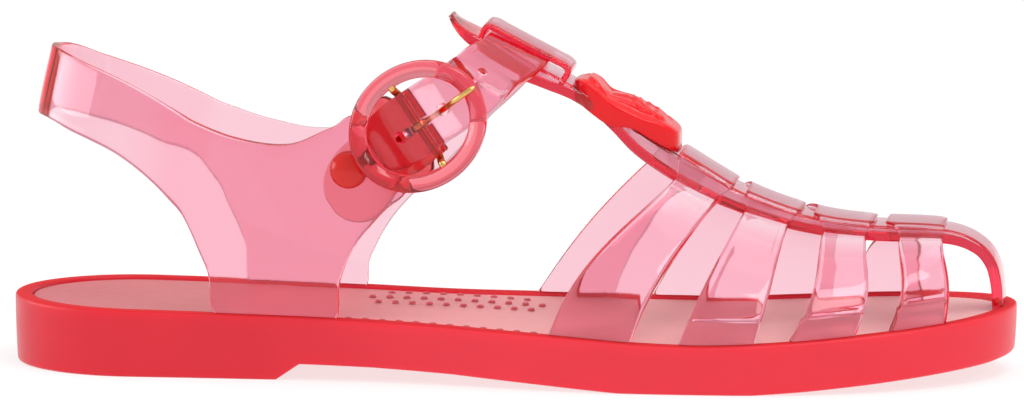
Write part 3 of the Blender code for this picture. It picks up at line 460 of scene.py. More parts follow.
def inset(loop, depth):
    t = np.roll(loop, -1, axis=0) - np.roll(loop, 1, axis=0)
    t /= np.linalg.norm(t, axis=1, keepdims=True)
    return loop - depth * np.column_stack([t[:, 1], -t[:, 0]])


def edge_y(depth):
    loop = inset(outline(), depth)
    half = len(loop) // 2
    lat, med = loop[:half + 1], np.vstack([loop[half:], loop[:1]])[::-1]
    return (lambda x: float(np.interp(x, lat[:, 0], lat[:, 1])),
            lambda x: float(np.interp(x, med[:, 0], med[:, 1])))


LOOP = outline()
ORIGIN = np.array([0.5 * (LOOP[:, 0].min() + LOOP[:, 0].max()),
                   0.5 * (LOOP[:, 1].min() + LOOP[:, 1].max()), 0.0])


def moulded_plate(name, section, sharp=40.0):
    """Plate with the foot's outline; section rows are inset, share floor to rim, rise."""
    n = len(LOOP)
    half = n // 2
    verts, faces = [], []
    for depth, share, rise in section:
        for x, y in inset(LOOP, depth):
            z = floor_z(x) * (1 - share) + rim_z(x) * share + rise
            verts.append((x, y, z))
    for k in range(len(section) - 1):
        for i in range(n):
            m = (i + 1) % n
            faces.append((k * n + i, k * n + m, (k + 1) * n + m, (k + 1) * n + i))
    for base, flip in ((0, True), ((len(section) - 1) * n, False)):
        for i in range(half):
            quad = list(dict.fromkeys([i, i + 1, (n - i - 1) % n, (n - i) % n]))
            face = tuple(base + q for q in quad)
            faces.append(face[::-1] if flip else face)
    return add_mesh(name, verts, faces, sharp)


def sole_piece():
    d = RIM_DRAFT
    section = [(9.0, 0, 0.0), (d + 1.0, 0, 0.0), (d + 0.62, 0, 0.10), (d + 0.30, 0, 0.30),
               (d + 0.08, 0, 0.60), (d, 0, 0.95)]
    for share in (0.12, 0.28, 0.45, 0.62, 0.78, 0.88):
        section.append((d * (1 - share) - 0.12 * math.sin(math.pi * share),
                        share, 0.95 * (1 - share) - 1.0 * share))
    section += [(0.0, 1, -1.0), (0.07, 1, -0.62), (0.27, 1, -0.28), (0.60, 1, -0.07),
                (1.0, 1, 0.0), (2.6, 1, 0.05), (RIM_WIDTH - 0.55, 1, 0.0),
                (RIM_WIDTH - 0.2, 1, -0.1), (RIM_WIDTH, 1, -0.4), (RIM_WIDTH + 0.12, 1, -1.4),
                (RIM_WIDTH + 0.2, 1, -RECESS)]
    return moulded_plate("sole_moulding", section)


def footbed_piece():
    w = RIM_WIDTH + 0.2
    section = [(w + 0.3, 1, -RECESS + 0.3), (w + 0.15, 1, -FOOTBED_DROP - 0.75),
               (w + 0.22, 1, -FOOTBED_DROP - 0.35), (w + 0.5, 1, -FOOTBED_DROP - 0.1),
               (w + 1.0, 1, -FOOTBED_DROP), (w + 4.0, 1, -FOOTBED_DROP - 0.02),
               (w + 9.0, 1, -FOOTBED_DROP - 0.15), (w + 15.0, 1, -FOOTBED_DROP - 0.35)]
    return moulded_plate("footbed", section, 50.0)


def footbed_z(x):
    return rim_z(x) - FOOTBED_DROP


NEAR_EDGE = edge_y(RIM_WIDTH + 0.4)[0]


def footbed_dots():
    """Low oval studs of the massage field under the arch, and a row along the near, lateral edge."""
    verts, faces = [], []

    def stud(x, y, a, b, h):
        base, n = len(verts), 14
        z = footbed_z(x) - 0.12
        for share, rise in ((1.0, 0.0), (0.9, 0.55 * h), (0.62, 0.88 * h)):
            for k in range(n):
                w = 2 * math.pi * k / n
                verts.append((x + a * share * math.cos(w), y + b * share * math.sin(w),
                              z + rise))
        verts.append((x, y, z + h))
        verts.append((x, y, z - 0.1))
        for r in range(2):
            for k in range(n):
                m = (k + 1) % n
                faces.append((base + r * n + k, base + r * n + m,
                              base + (r + 1) * n + m, base + (r + 1) * n + k))
        for k in range(n):
            m = (k + 1) % n
            faces.append((base + 2 * n + k, base + 2 * n + m, base + 3 * n))
            faces.append((base + m, base + k, base + 3 * n + 1))

    for y, first, count, bend in ((20.6, 94.0, 9, -0.9), (12.8, 90.0, 11, -0.6), (4.4, 92.4, 10, -0.3)):
        for k in range(count):
            q = 2.0 * k / (count - 1) - 1.0
            stud(first + 4.35 * k, y + bend * 2.0 * q * q, 0.95, 0.95, 0.62)
    for k in range(13):
        x = 84.0 + 4.35 * k
        stud(x, NEAR_EDGE(x) + 3.0, 1.0, 0.7, 0.5)
    return add_mesh("footbed_dots", verts, faces, 50.0)


# ------------------------------------------------------------ T-bar, bands, keeper
RIDGE_S = np.concatenate([[0.0], np.cumsum(np.hypot(
    np.diff(column(RIDGE_COLS, RIDGE, "x")), np.diff(column(RIDGE_COLS, RIDGE, "z"))))])
ridge_x, ridge_top, ridge_half, ridge_crown = (
    smooth(RIDGE_S, column(RIDGE_COLS, RIDGE, name)) for name in RIDGE_COLS)


def ridge_at(x):
    lo, hi = 0.0, float(RIDGE_S[-1])
    for _ in range(40):
        mid = 0.5 * (lo + hi)
        if ridge_x(mid) < x:
            lo = mid
        else:
            hi = mid
    return lo


def ridge_normal(p):
    a, b = max(p - 0.8, 0.0), min(p + 0.8, float(RIDGE_S[-1]))
    return unit((-(ridge_top(b) - ridge_top(a)), 0.0, ridge_x(b) - ridge_x(a)))


SHOULDER, WALL_TBAR, PAD_WALL, PLATE = 1.0, 0.75, 0.85, 2.1
CREASE, CREASE_Z = 0.55, 6.6            # soft ridge across the near bands, above their feet
CREASE_ANGLES = [88.3, 85.8, 84.9, 84.1, 82.5, 81.6, 80.8, 79.2, 78.3, 77.5, 75.8, 74.9, 74.1]


def skirt(p):
    """Height of the T-bar's side seen from beside it."""
    crown = ridge_crown(p)
    full = crown + WALL_VAMP / math.hypot(1.0, 0.367 * crown) - 0.1
    return full * (0.5 + 0.5 * ease(0.0, 8.0, p))


def section(p, reach, rise=0.0):
    """Point of the T-bar at a girth from its ridge line, and its outward direction."""
    x, up = ridge_x(p), ridge_normal(p)
    flat = ridge_half(p) - SHOULDER
    a = abs(reach)
    turn = min(max((a - flat) / SHOULDER, 0.0), 0.5 * math.pi)
    y = min(a, flat) + SHOULDER * math.sin(turn)
    drop = SHOULDER * (1 - math.cos(turn)) + max(a - flat - 0.5 * math.pi * SHOULDER, 0.0)
    drop += 0.05 * ridge_crown(p) * (min(a, flat) / flat) ** 2
    side = math.copysign(1.0, reach)
    out = up * math.cos(turn) + np.array([0.0, side * math.sin(turn), 0.0])
    return np.array([x, middle_line(x) + side * y, ridge_top(p)]) - up * drop + out * rise, out


def girth(p, drop):
    """Girth from the ridge line at which the side has come down by a given drop."""
    flat = ridge_half(p) - SHOULDER
    if drop < SHOULDER:
        return flat + SHOULDER * math.acos(1 - drop / SHOULDER)
    return flat + 0.5 * math.pi * SHOULDER + drop - SHOULDER


def flat_point(p, across, rise):
    x = ridge_x(p)
    sag = ridge_crown(p) if rise < 0.0 else 0.5
    return (np.array([x, middle_line(x) + across * ridge_half(p), ridge_top(p)])
            + ridge_normal(p) * (rise - sag * abs(across) ** 3))


def tbar():
    end = float(RIDGE_S[-1])
    steps = np.unique(np.round(np.concatenate([EDGE, np.linspace(1.2, end, 170)]), 4))
    columns, normals, dists = [], [], []
    for p in steps:
        g = girth(p, skirt(p))
        r, d = shares(2 * g, 31)
        pts = [section(p, g * (2 * q - 1)) for q in r]
        columns.append([a for a, _ in pts])
        normals.append([b for _, b in pts])
        dists.append(d)
    wall = [WALL_TBAR] * len(steps)
    return soft_sheet("t_bar", np.array(columns), wall, np.array(dists), steps, "outer",
                      n=np.array(normals))


def tbar_plate():
    """Full-width floor that closes the T-bar underneath."""
    end = float(RIDGE_S[-1])
    steps = np.unique(np.round(np.linspace(0.9, end - 0.05, 150), 4))
    columns, normals, dists, walls = [], [], [], []
    for p in steps:
        x, up, half = ridge_x(p), ridge_normal(p), ridge_half(p) - 0.06
        thick = min(PLATE, skirt(p) - 0.3)
        r, d = shares(2 * half, 9)
        middle = np.array([x, middle_line(x), ridge_top(p)]) - up * (skirt(p) - 0.04 - 0.5 * thick)
        columns.append([middle + np.array([0.0, half * (2 * q - 1), 0.0]) for q in r])
        normals.append([up] * len(r))
        dists.append(d)
        walls.append(thick)
    return soft_sheet("t_plate", np.array(columns), walls, np.array(dists),
                      np.full(len(steps), 9.0), n=np.array(normals))


def band(index):
    ridge0, ridge1, power = BANDS[index]
    lat_edge, med_edge = edge_y(UPPER_INSET)
    p0, p1 = ridge_at(ridge0), ridge_at(ridge1)
    angles = [math.radians(a) for a in sorted(list(np.linspace(90, 3, 27)) + CREASE_ANGLES, reverse=True)]
    columns, dists, walls = [], [], []

    def pad(w, b):
        shift0, shift1 = (BAND_LATERAL if b < 0 else BAND_MEDIAL)[index][:2]
        p = p1 + (p0 - p1) * w
        shift = (shift1 + (shift0 - shift1) * w) * ease(0.55, 1.0, abs(b))
        return section(p + shift, b * girth(p + shift, ridge_crown(p + shift)), PAD_RISE)[0]

    def side(w, angle, b, sink=0.0):
        row, edge = (BAND_LATERAL, lat_edge) if b < 0 else (BAND_MEDIAL, med_edge)
        _, _, foot0, foot1, bow0, bow1 = row[index]
        top = pad(w, b)
        x, bow = foot1 + (foot0 - foot1) * w, bow1 + (bow0 - bow1) * w
        foot = np.array([x, edge(x), rim_z(x) - sink])
        y_share = math.sin(angle) ** (2 / power)
        z_share = max(math.cos(angle), 0.0) ** (2 / power)
        above = (top[2] - foot[2]) * z_share - CREASE_Z
        crease = CREASE * math.exp(-(above / 1.5) ** 2) if index > 0 and b < 0 else 0.0
        return np.array([foot[0] + (top[0] - foot[0]) * z_share
                         + bow * math.sin(math.pi * z_share),
                         top[1] + (foot[1] - top[1]) * y_share - crease,
                         foot[2] + (top[2] - foot[2]) * z_share])

    def add(point, wall):
        width = np.linalg.norm(np.subtract(point(0.0), point(1.0)))
        r, d = shares(width, 9)
        columns.append([point(w) for w in r])
        dists.append(d)
        walls.append(wall)

    foot = math.radians(90)
    add(lambda w: side(w, foot, -1.0, SINK), WALL_NEAR)
    for a in angles:
        add(lambda w: side(w, a, -1.0), WALL_NEAR + (PAD_WALL - WALL_NEAR) * (1 - ease(3, 36, math.degrees(a))))
    for b in np.linspace(-1, 1, 41)[1:-1]:
        add(lambda w: pad(w, b), PAD_WALL)
    for a in angles[::-1]:
        add(lambda w: side(w, a, 1.0), WALL_FAR + (PAD_WALL - WALL_FAR) * (1 - ease(3, 36, math.degrees(a))))
    add(lambda w: side(w, foot, 1.0, SINK), WALL_FAR)
    return soft_sheet("band_%d" % (index + 1), np.array(columns), walls, np.array(dists),
                      np.full(len(columns), 9.0), "outer")


def keeper():
    p0, p1 = ridge_at(KEEPER_X0), ridge_at(KEEPER_X1)
    back, front = KEEPER_RISE
    path = [(p0, -1.0), (p0, 0.6), (p0 + 0.02, back - 1.7), (p0 + 0.5, back - 0.5), (p0 + 1.8, back)]
    path += [(p0 + (p1 - p0) * k, back + (front - back) * k) for k in (0.2, 0.35, 0.5, 0.65, 0.8)]
    path += [(p1 - 1.8, front), (p1 - 0.5, front - 0.5), (p1 - 0.02, front - 1.7), (p1, 0.6), (p1, -1.0)]
    columns, dists = [], []
    for p, rise in along(path, 0.6):
        r, d = shares(2 * 0.94 * ridge_half(p), 9)
        columns.append([flat_point(p, 0.94 * (2 * q - 1), rise) for q in r])
        dists.append(d)
    n = len(columns)
    return soft_sheet("keeper", np.array(columns), [WALL_KEEPER] * n, np.array(dists),
                      np.full(n, 9.0), "outer")


def vamp_piece():
    vamp = tbar()
    join(vamp, [tbar_plate()] + [band(k) for k in range(len(BANDS))] + [keeper()], "UNION", 38.0)
    vamp.name = vamp.data.name = "vamp"
    return vamp


# ------------------------------------------------------------ quarters and strap
OUT = unit(BUCKLE_OUT)
ALONG = np.array([math.cos(math.radians(STRAP_RISE_DEG)), 0.0, math.sin(math.radians(STRAP_RISE_DEG))])
ALONG = unit(ALONG - OUT * np.dot(ALONG, OUT))
SIDE = np.cross(ALONG, OUT)


def buckle(s, t, out):
    return np.asarray(BUCKLE_C) + ALONG * s + SIDE * t + OUT * out


def quarter_y(x, z, side):
    mid = UPPER_INSET + 0.5 * WALL_QUARTER
    if side < 0:
        low, top = lateral_half(x) - mid, ankle_lateral(x)
    else:
        low, top = medial_half(x) - mid, ankle_medial(x)
    return side * (low + (top - low) * ease(rim_z(x), 56.0, z))


def quarter_point(s, t, out):
    flat = buckle(s, t, 0.0)
    share = ease(-6.0, -15.0, s)
    y = flat[1] + (quarter_y(flat[0], flat[2], -1) - flat[1]) * share
    return np.array([flat[0], y, flat[2]]) + OUT * out


def strap_curves():
    rows = np.array(STRAP)
    end = buckle(17.0, STRAP_T, STRAP_IN_BUCKLE[0][1])
    rows = np.vstack([rows, np.concatenate([end, OUT])])
    knots = np.concatenate([[0.0], np.cumsum(np.linalg.norm(np.diff(rows[:, :3], axis=0), axis=1))])
    return knots, [smooth(knots, rows[:, k]) for k in range(6)]


def strap_frame(m):
    """Middle of the strap, its outward direction and its cross direction."""
    knots, curves = strap_curves()
    a, b = max(m - 1.0, 0.0), min(m + 1.0, knots[-1])
    p = np.array([c(m) for c in curves[:3]])
    path = np.array([c(b) - c(a) for c in curves[:3]])
    n = np.array([c(m) for c in curves[3:]])
    return p, unit(n), unit(np.cross(n, path))


def quarter_piece():
    columns = []

    def add(points, width, wall):
        r, d = shares(width)
        pts = np.array([points(q) for q in r])
        columns.append(np.column_stack([pts, d, np.full(len(r), wall)]))

    for s, out, half in QUARTER_FRONT:
        add(lambda r: quarter_point(s, half * (2 * r - 1), out), 2 * half, WALL_NEAR)

    def quarter(row, side):
        low_x, low_z, top_x, top_z = row
        if low_z == 0.0:
            low_z = rim_z(low_x) - SINK
        def point(r):
            x, z = top_x + (low_x - top_x) * r, top_z + (low_z - top_z) * r
            return x, quarter_y(x, z, side), z
        add(point, math.hypot(top_x - low_x, top_z - low_z), WALL_NEAR if side < 0 else WALL_FAR)

    def sling(angle, side):
        which = "lat" if side < 0 else "med"
        low = table(SLING_COLS, SLING, "angle", which + "_low")(angle)
        top = table(SLING_COLS, SLING, "angle", which + "_top")(angle)
        w = math.radians(angle)
        def point(r):
            z = top + (low - top) * r
            return (heel_back(z) + SLING_REACH * (1 - math.cos(w)),
                    side * heel_half(z) * math.sin(w), z)
        near = ease(70, 90, angle) if side < 0 else 0.0
        add(point, top - low, WALL_SLING + (WALL_NEAR - WALL_SLING) * near + 0.8 * (1 - ease(6, 24, angle))
            - (0.9 * ease(6, 20, angle) * (1 - ease(32, 46, angle)) if side < 0 else 0.0))

    for row in QUARTER_LATERAL:
        quarter(row, -1)
    for angle in (90, 78, 66, 54, 42, 30, 20, 10):
        sling(angle, -1)
    for angle in (0, 10, 20, 30, 42, 54, 66, 78, 90):
        sling(angle, 1)
    for row in QUARTER_MEDIAL:
        quarter(row, 1)
    knots, _ = strap_curves()
    for m in sorted(set(list(knots[:-1]) + list(0.5 * (knots[1:] + knots[:-1])))):
        p, _, front = strap_frame(m)
        add(lambda r: p + front * STRAP_HALF * (2 * r - 1), 2 * STRAP_HALF, WALL_STRAP)
    for s, out, half in STRAP_IN_BUCKLE:
        add(lambda r: buckle(s, STRAP_T + half * (2 * r - 1), out), 2 * half, WALL_STRAP)

    grid, ends = resample(columns, 1.5)
    piece = soft_sheet("quarter_and_strap", grid[:, :, :3], grid[:, 0, 4], grid[:, :, 3], ends)

    cutters = []
    for s in (7.4, -4.6):
        slope = (strap_out(s + 1) - strap_out(s - 1)) / 2
        h = 0.5 * WALL_STRAP + 0.3
        cutters.append(lathe("hole", buckle(s, 0.0, strap_out(s)), OUT - ALONG * slope,
                             [(HOLE_R, -h), (HOLE_R, h)], 28))
    spot, n, front = strap_frame(knots[-1] - 5.6)
    cutters.append(lathe("hole", spot - front * 0.6, n, [(1.15, -1.6), (1.15, 1.6)], 24))
    cutters.append(lathe("hole", quarter_point(RIVET_S, RIVET_T, 0.0), OUT,
                         [(2.2, -1.5), (2.2, 2.0)], 28))
    return join(piece, cutters, "DIFFERENCE", 38.0)


def tab_piece():
    """Tab folded round the bar and held by the rivet behind the quarter."""
    columns = []

    def add(points, width, wall=WALL_TAB):
        r, d = shares(width)
        pts = np.array([points(q) for q in r])
        columns.append(np.column_stack([pts, d, np.full(len(r), wall)]))

    for s, out, half, mid in TAB_BACK:
        add(lambda r: quarter_point(s, mid + half * (2 * r - 1), out), 2 * half,
            TAB_END + (WALL_TAB - TAB_END) * ease(-18.5, -13.5, s))
    turn = BAR_R + 0.3 + 0.5 * WALL_TAB
    for k in range(13):
        w = math.radians(-90 + 15 * k)
        add(lambda r: buckle(turn * math.cos(w), TAB_HALF * (2 * r - 1),
                             BAR_OUT + turn * math.sin(w)), 2 * TAB_HALF)
    for s, out, half in TAB_FRONT:
        add(lambda r: quarter_point(s, half * (2 * r - 1), out), 2 * half)
    grid, ends = resample(columns, 1.2)
    piece = soft_sheet("buckle_tab", grid[:, :, :3], grid[:, 0, 4], grid[:, :, 3], ends)
    slot = lathe("slot", buckle(0.0, 0.0, BAR_OUT), SIDE, [(3.2, -1.2), (3.2, 1.2)], 32)
    hole = lathe("hole", quarter_point(RIVET_S, RIVET_T, 0.0), OUT, [(2.2, -4.2), (2.2, -1.2)], 28)
    return join(piece, [slot, hole], "DIFFERENCE", 38.0)


def strap_out(s):
    rows = STRAP_IN_BUCKLE[::-1]
    return float(np.interp(s, [r[0] for r in rows], [r[1] for r in rows]))


# ------------------------------------------------------------ buckle, rivet, badge
RING_SECTION = [
    # radius from the ring's middle line, rise above the quarter
    (-1.95, 4.2), (-2.2, 4.7), (-2.25, 5.2), (-2.15, 5.75), (-1.75, 6.25), (-1.2, 6.6),
    (-0.75, 6.95), (-0.3, 7.15), (0.4, 7.2), (1.1, 7.15), (1.65, 6.95), (2.05, 6.5), (2.25, 5.9),
    (2.25, 5.0), (2.15, 4.4), (1.8, 3.9), (1.2, 3.65), (0.4, 3.6), (-0.6, 3.6), (-1.4, 3.75),
]


def ring_piece():
    verts, faces = [], []
    turns, sides = 160, len(RING_SECTION)
    for i in range(turns):
        w = 2 * math.pi * i / turns
        for dr, o in RING_SECTION:
            verts.append(buckle(RING_S + (RING_RS + dr) * math.cos(w),
                                (RING_RT + dr) * math.sin(w), o))
    for i in range(turns):
        for k in range(sides):
            a, b = (i + 1) % turns, (k + 1) % sides
            faces.append((i * sides + k, a * sides + k, a * sides + b, i * sides + b))
    return add_mesh("ring", verts, faces, 60.0)


def bar_piece():
    reach = RING_RT - RING_HALF + 0.4
    path = [(-reach, RING_OUT), (-reach + 1.0, RING_OUT - 0.2), (-reach + 1.6, RING_OUT - 0.9),
            (-reach + 2.1, BAR_OUT + 0.8), (-reach + 2.7, BAR_OUT + 0.1), (-reach + 3.4, BAR_OUT)]
    path += [(t, BAR_OUT) for t in (-6.0, -2.0, 2.0, 6.0)]
    path += [(-t, o) for t, o in path[5::-1]]
    return tube("centre_bar", [buckle(0.0, t, o) for t, o in along(path, 0.5)], BAR_R, 24, ALONG)


def prong_piece():
    path = along(PRONG, 0.4)
    reach = np.linspace(0.0, 1.0, len(path))
    radius = PRONG_R * np.where(reach < 0.9, 1.0, np.sqrt(np.clip(1 - ((reach - 0.9) / 0.108) ** 2, 0.02, 1)))
    arm = tube("prong", [buckle(s, 0.0, o) for s, o in path], radius, 24, SIDE)
    verts, faces, sides = [], [], 48
    ring = [(1.3, -0.8), (1.45, -1.0), (2.1, -1.0), (2.25, -0.85), (2.25, 0.85), (2.1, 1.0),
            (1.45, 1.0), (1.3, 0.8)]
    for r, t in ring:
        for k in range(sides):
            w = 2 * math.pi * k / sides
            verts.append(buckle(r * math.cos(w), t, BAR_OUT + r * math.sin(w)))
    n = len(ring)
    for i in range(n):
        for k in range(sides):
            j, m = (i + 1) % n, (k + 1) % sides
            faces.append((i * sides + k, i * sides + m, j * sides + m, j * sides + k))
    return join(arm, [add_mesh("prong_eye", verts, faces)], "UNION", 45.0)


def rivet_piece():
    base = 0.5 * WALL_QUARTER + 0.65
    back = -2.35 - 0.5 * TAB_END - 0.35
    profile = [(0.4, back - 1.35), (1.6, back - 1.3), (2.8, back - 1.1), (3.4, back - 0.75),
               (3.6, back - 0.3), (3.6, back), (1.9, back), (1.9, base),
               (RIVET_R - 0.25, base), (RIVET_R, base + 0.25), (RIVET_R, base + 0.75)]
    profile += [(RIVET_R * math.cos(w), base + 0.75 + 2.6 * math.sin(w))
                for w in (math.radians(a) for a in np.linspace(8, 86, 12))]
    return lathe("dome_rivet", quarter_point(RIVET_S, RIVET_T, 0.0), OUT, profile, 56)


badge_edge = table(BADGE_TOP_COLS, BADGE_TOP, "x", "edge")
badge_crown = table(BADGE_TOP_COLS, BADGE_TOP, "x", "crown")


def badge_z(x, y, level):
    """Height of the badge: its base follows the T-bar's flanks, its top is crowned."""
    p = ridge_at(x)
    share = np.interp(abs(y) / ridge_half(p), [a for a, _ in FLANK], [b for _, b in FLANK])
    drop = ridge_crown(p) * share / ridge_normal(p)[2]
    root = 2.6 * (1 - ease(150.0, 157.0, x))          # the knob is moulded into the T-bar
    base = -0.1 - drop * (1 - ease(152.5, 160.0, x)) - root
    heights = (base, badge_edge(x), badge_crown(x))
    return ridge_top(p) + float(np.interp(level, (0.0, 1.0, 2.0), heights))


def badge_piece():
    verts, faces, n = [], [], 240
    mid, reach = 0.5 * (BADGE_X0 + BADGE_X1), 0.5 * (BADGE_X1 - BADGE_X0)
    for share, level, rise in BADGE:
        for k in range(n):
            w = 2 * math.pi * k / n
            c, s = math.cos(w), math.sin(w)
            x = mid + share * reach * math.copysign(abs(c) ** (2 / BADGE_POWER), c)
            y = share * BADGE_HALF * math.copysign(abs(s) ** (2 / BADGE_POWER), s)
            field = ease(154.5, 157.0, x) * (1 - ease(166.5, 168.5, x)) * ease(1.45, 1.7, level)
            rib = 0.24 * field * math.cos(2 * math.pi * (x + 0.25 * y) / 2.2)
            verts.append((x, y + middle_line(x), badge_z(x, y, level) + rise + rib))
    for i in range(len(BADGE) - 1):
        for k in range(n):
            m = (k + 1) % n
            faces.append((i * n + k, i * n + m, (i + 1) * n + m, (i + 1) * n + k))
    for base, flip in ((0, True), ((len(BADGE) - 1) * n, False)):
        for k in range(n // 2):
            quad = list(dict.fromkeys([k, k + 1, (n - k - 1) % n, (n - k) % n]))
            face = tuple(base + q for q in quad)
            faces.append(face[::-1] if flip else face)
    return add_mesh("badge_block", verts, faces, 50.0)


# ------------------------------------------------------------ materials
def material(name):
    mat = bpy.data.materials.new(name)
    mat.use_nodes = True
    tree = mat.node_tree
    return mat, tree, tree.nodes["Principled BSDF"]


def noise(tree, scale, detail=2.0, rough=0.5):
    coord = tree.nodes.new("ShaderNodeTexCoord")
    tex = tree.nodes.new("ShaderNodeTexNoise")
    tex.inputs["Scale"].default_value = scale
    tex.inputs["Detail"].default_value = detail
    tex.inputs["Roughness"].default_value = rough
    tree.links.new(coord.outputs["Object"], tex.inputs["Vector"])
    return tex


def add_bump(tree, shader, layers):
    """Chain of noise bumps: scale, strength, depth in metres."""
    last = None
    for scale, strength, depth in layers:
        bump = tree.nodes.new("ShaderNodeBump")
        bump.inputs["Strength"].default_value = strength
        bump.inputs["Distance"].default_value = depth
        tree.links.new(noise(tree, scale).outputs["Fac"], bump.inputs["Height"])
        if last:
            tree.links.new(last.outputs["Normal"], bump.inputs["Normal"])
        last = bump
    tree.links.new(last.outputs["Normal"], shader.inputs["Normal"])


def rough_range(tree, shader, scale, low, high):
    ramp = tree.nodes.new("ShaderNodeMapRange")
    ramp.inputs["To Min"].default_value = low
    ramp.inputs["To Max"].default_value = high
    tree.links.new(noise(tree, scale, 3.0).outputs["Fac"], ramp.inputs["Value"])
    tree.links.new(ramp.outputs["Result"], shader.inputs["Roughness"])


def colour_range(tree, shader, scale, a, b):
    mix = tree.nodes.new("ShaderNodeMix")
    mix.data_type = "RGBA"
    mix.inputs[6].default_value = (*a, 1.0)
    mix.inputs[7].default_value = (*b, 1.0)
    tree.links.new(noise(tree, scale, 3.0).outputs["Fac"], mix.inputs[0])
    tree.links.new(mix.outputs[2], shader.inputs["Base Color"])


def colour_along(tree, shader, stops, mottle, scale):
    """Colour by distance along the foot, with a soft mottle laid over it."""
    coord = tree.nodes.new("ShaderNodeTexCoord")
    split = tree.nodes.new("ShaderNodeSeparateXYZ")
    tree.links.new(coord.outputs["Object"], split.inputs["Vector"])
    place = tree.nodes.new("ShaderNodeMapRange")
    place.inputs["From Min"].default_value = -0.1275
    place.inputs["From Max"].default_value = 0.1275
    tree.links.new(split.outputs["X"], place.inputs["Value"])
    ramp = tree.nodes.new("ShaderNodeValToRGB")
    while len(ramp.color_ramp.elements) < len(stops):
        ramp.color_ramp.elements.new(0.5)
    for element, (at, colour) in zip(ramp.color_ramp.elements, stops):
        element.position, element.color = at, (*colour, 1.0)
    tree.links.new(place.outputs["Result"], ramp.inputs["Fac"])
    grey = tree.nodes.new("ShaderNodeMapRange")
    grey.inputs["To Min"].default_value = 1.0 - mottle
    grey.inputs["To Max"].default_value = 1.0 + mottle
    tree.links.new(noise(tree, scale, 3.0).outputs["Fac"], grey.inputs["Value"])
    mix = tree.nodes.new("ShaderNodeMix")
    mix.data_type, mix.blend_type = "RGBA", "MULTIPLY"
    mix.inputs[0].default_value = 1.0
    tree.links.new(ramp.outputs["Color"], mix.inputs[6])
    tree.links.new(grey.outputs["Result"], mix.inputs[7])
    tree.links.new(mix.outputs[2], shader.inputs["Base Color"])


def clear_pvc(name, tint, density, absorb, rough, transmission=1.0, ior=1.46):
    mat, tree, shader = material(name)
    shader.inputs["Base Color"].default_value = (*tint, 1.0)
    shader.inputs["IOR"].default_value = ior
    shader.inputs["Transmission Weight"].default_value = transmission
    rough_range(tree, shader, 220.0, rough * 0.7, rough * 1.3)
    add_bump(tree, shader, [(70.0, 0.10, 0.0006), (900.0, 0.02, 0.0001)])
    volume = tree.nodes.new("ShaderNodeVolumeAbsorption")
    volume.inputs["Color"].default_value = (*absorb, 1.0)
    volume.inputs["Density"].default_value = density
    tree.links.new(volume.outputs["Volume"], tree.nodes["Material Output"].inputs["Volume"])
    return mat


def sole_pvc():
    mat, tree, shader = material("sole_pvc")
    # Darker towards the heel. The darkest stop, over the last centimetre of the heel's back end, is painted shade.
    colour_along(tree, shader, [(0.0, (0.54, 0.016, 0.030)), (0.04, (0.68, 0.021, 0.040)), (0.25, (0.72, 0.023, 0.044)),
                                (0.45, (0.80, 0.036, 0.062)), (1.0, (0.79, 0.034, 0.058))], 0.06, 45.0)
    side = shader.inputs["Base Color"].links[0].from_socket
    # Up-facing faces, the rim's top, are mixed toward a deeper red: painted shade set by which way the face points. The
    # same mask also makes them duller.
    facing = tree.nodes.new("ShaderNodeSeparateXYZ")
    tree.links.new(tree.nodes.new("ShaderNodeNewGeometry").outputs["Normal"], facing.inputs["Vector"])
    up = tree.nodes.new("ShaderNodeMapRange")
    up.inputs["From Min"].default_value = 0.45
    up.inputs["From Max"].default_value = 0.95
    tree.links.new(facing.outputs["Z"], up.inputs["Value"])
    rim = tree.nodes.new("ShaderNodeMix")
    rim.data_type = "RGBA"
    rim.inputs[7].default_value = (0.62, 0.008, 0.014, 1.0)
    tree.links.new(up.outputs["Result"], rim.inputs[0])
    tree.links.new(side, rim.inputs[6])
    tree.links.new(rim.outputs[2], shader.inputs["Base Color"])
    shader.inputs["Subsurface Weight"].default_value = 0.6
    shader.inputs["Subsurface Radius"].default_value = (1.0, 0.25, 0.28)
    shader.inputs["Subsurface Scale"].default_value = 0.006
    shader.inputs["IOR"].default_value = 1.45
    shader.inputs["Specular IOR Level"].default_value = 0.32
    rough_range(tree, shader, 160.0, 0.26, 0.38)
    polish = shader.inputs["Roughness"].links[0].from_socket
    dull = tree.nodes.new("ShaderNodeMix")
    dull.inputs[3].default_value = 0.75
    tree.links.new(up.outputs["Result"], dull.inputs[0])
    tree.links.new(polish, dull.inputs[2])
    tree.links.new(dull.outputs[0], shader.inputs["Roughness"])
    add_bump(tree, shader, [(60.0, 0.08, 0.0005), (1100.0, 0.04, 0.0001)])
    return mat


def footbed_pvc():
    mat, tree, shader = material("footbed_pvc")
    # Darker at the heel and brighter towards the forefoot. The forefoot's lift is painted light that offsets the shade
    # the bands cast on it.
    colour_along(tree, shader, [(0.0, (0.62, 0.150, 0.170)), (0.19, (0.66, 0.19, 0.20)),
                                (0.25, (0.82, 0.22, 0.25)), (0.35, (0.84, 0.28, 0.29)),
                                (0.45, (0.86, 0.33, 0.34)), (0.60, (0.93, 0.43, 0.42)),
                                (0.80, (0.96, 0.49, 0.48)), (1.0, (0.88, 0.47, 0.47))], 0.05, 60.0)
    shader.inputs["Subsurface Weight"].default_value = 0.2
    shader.inputs["Subsurface Radius"].default_value = (1.0, 0.3, 0.3)
    shader.inputs["Subsurface Scale"].default_value = 0.003
    shader.inputs["IOR"].default_value = 1.42
    shader.inputs["Specular IOR Level"].default_value = 0.3
    rough_range(tree, shader, 300.0, 0.42, 0.58)
    add_bump(tree, shader, [(1400.0, 0.12, 0.0001)])
    return mat


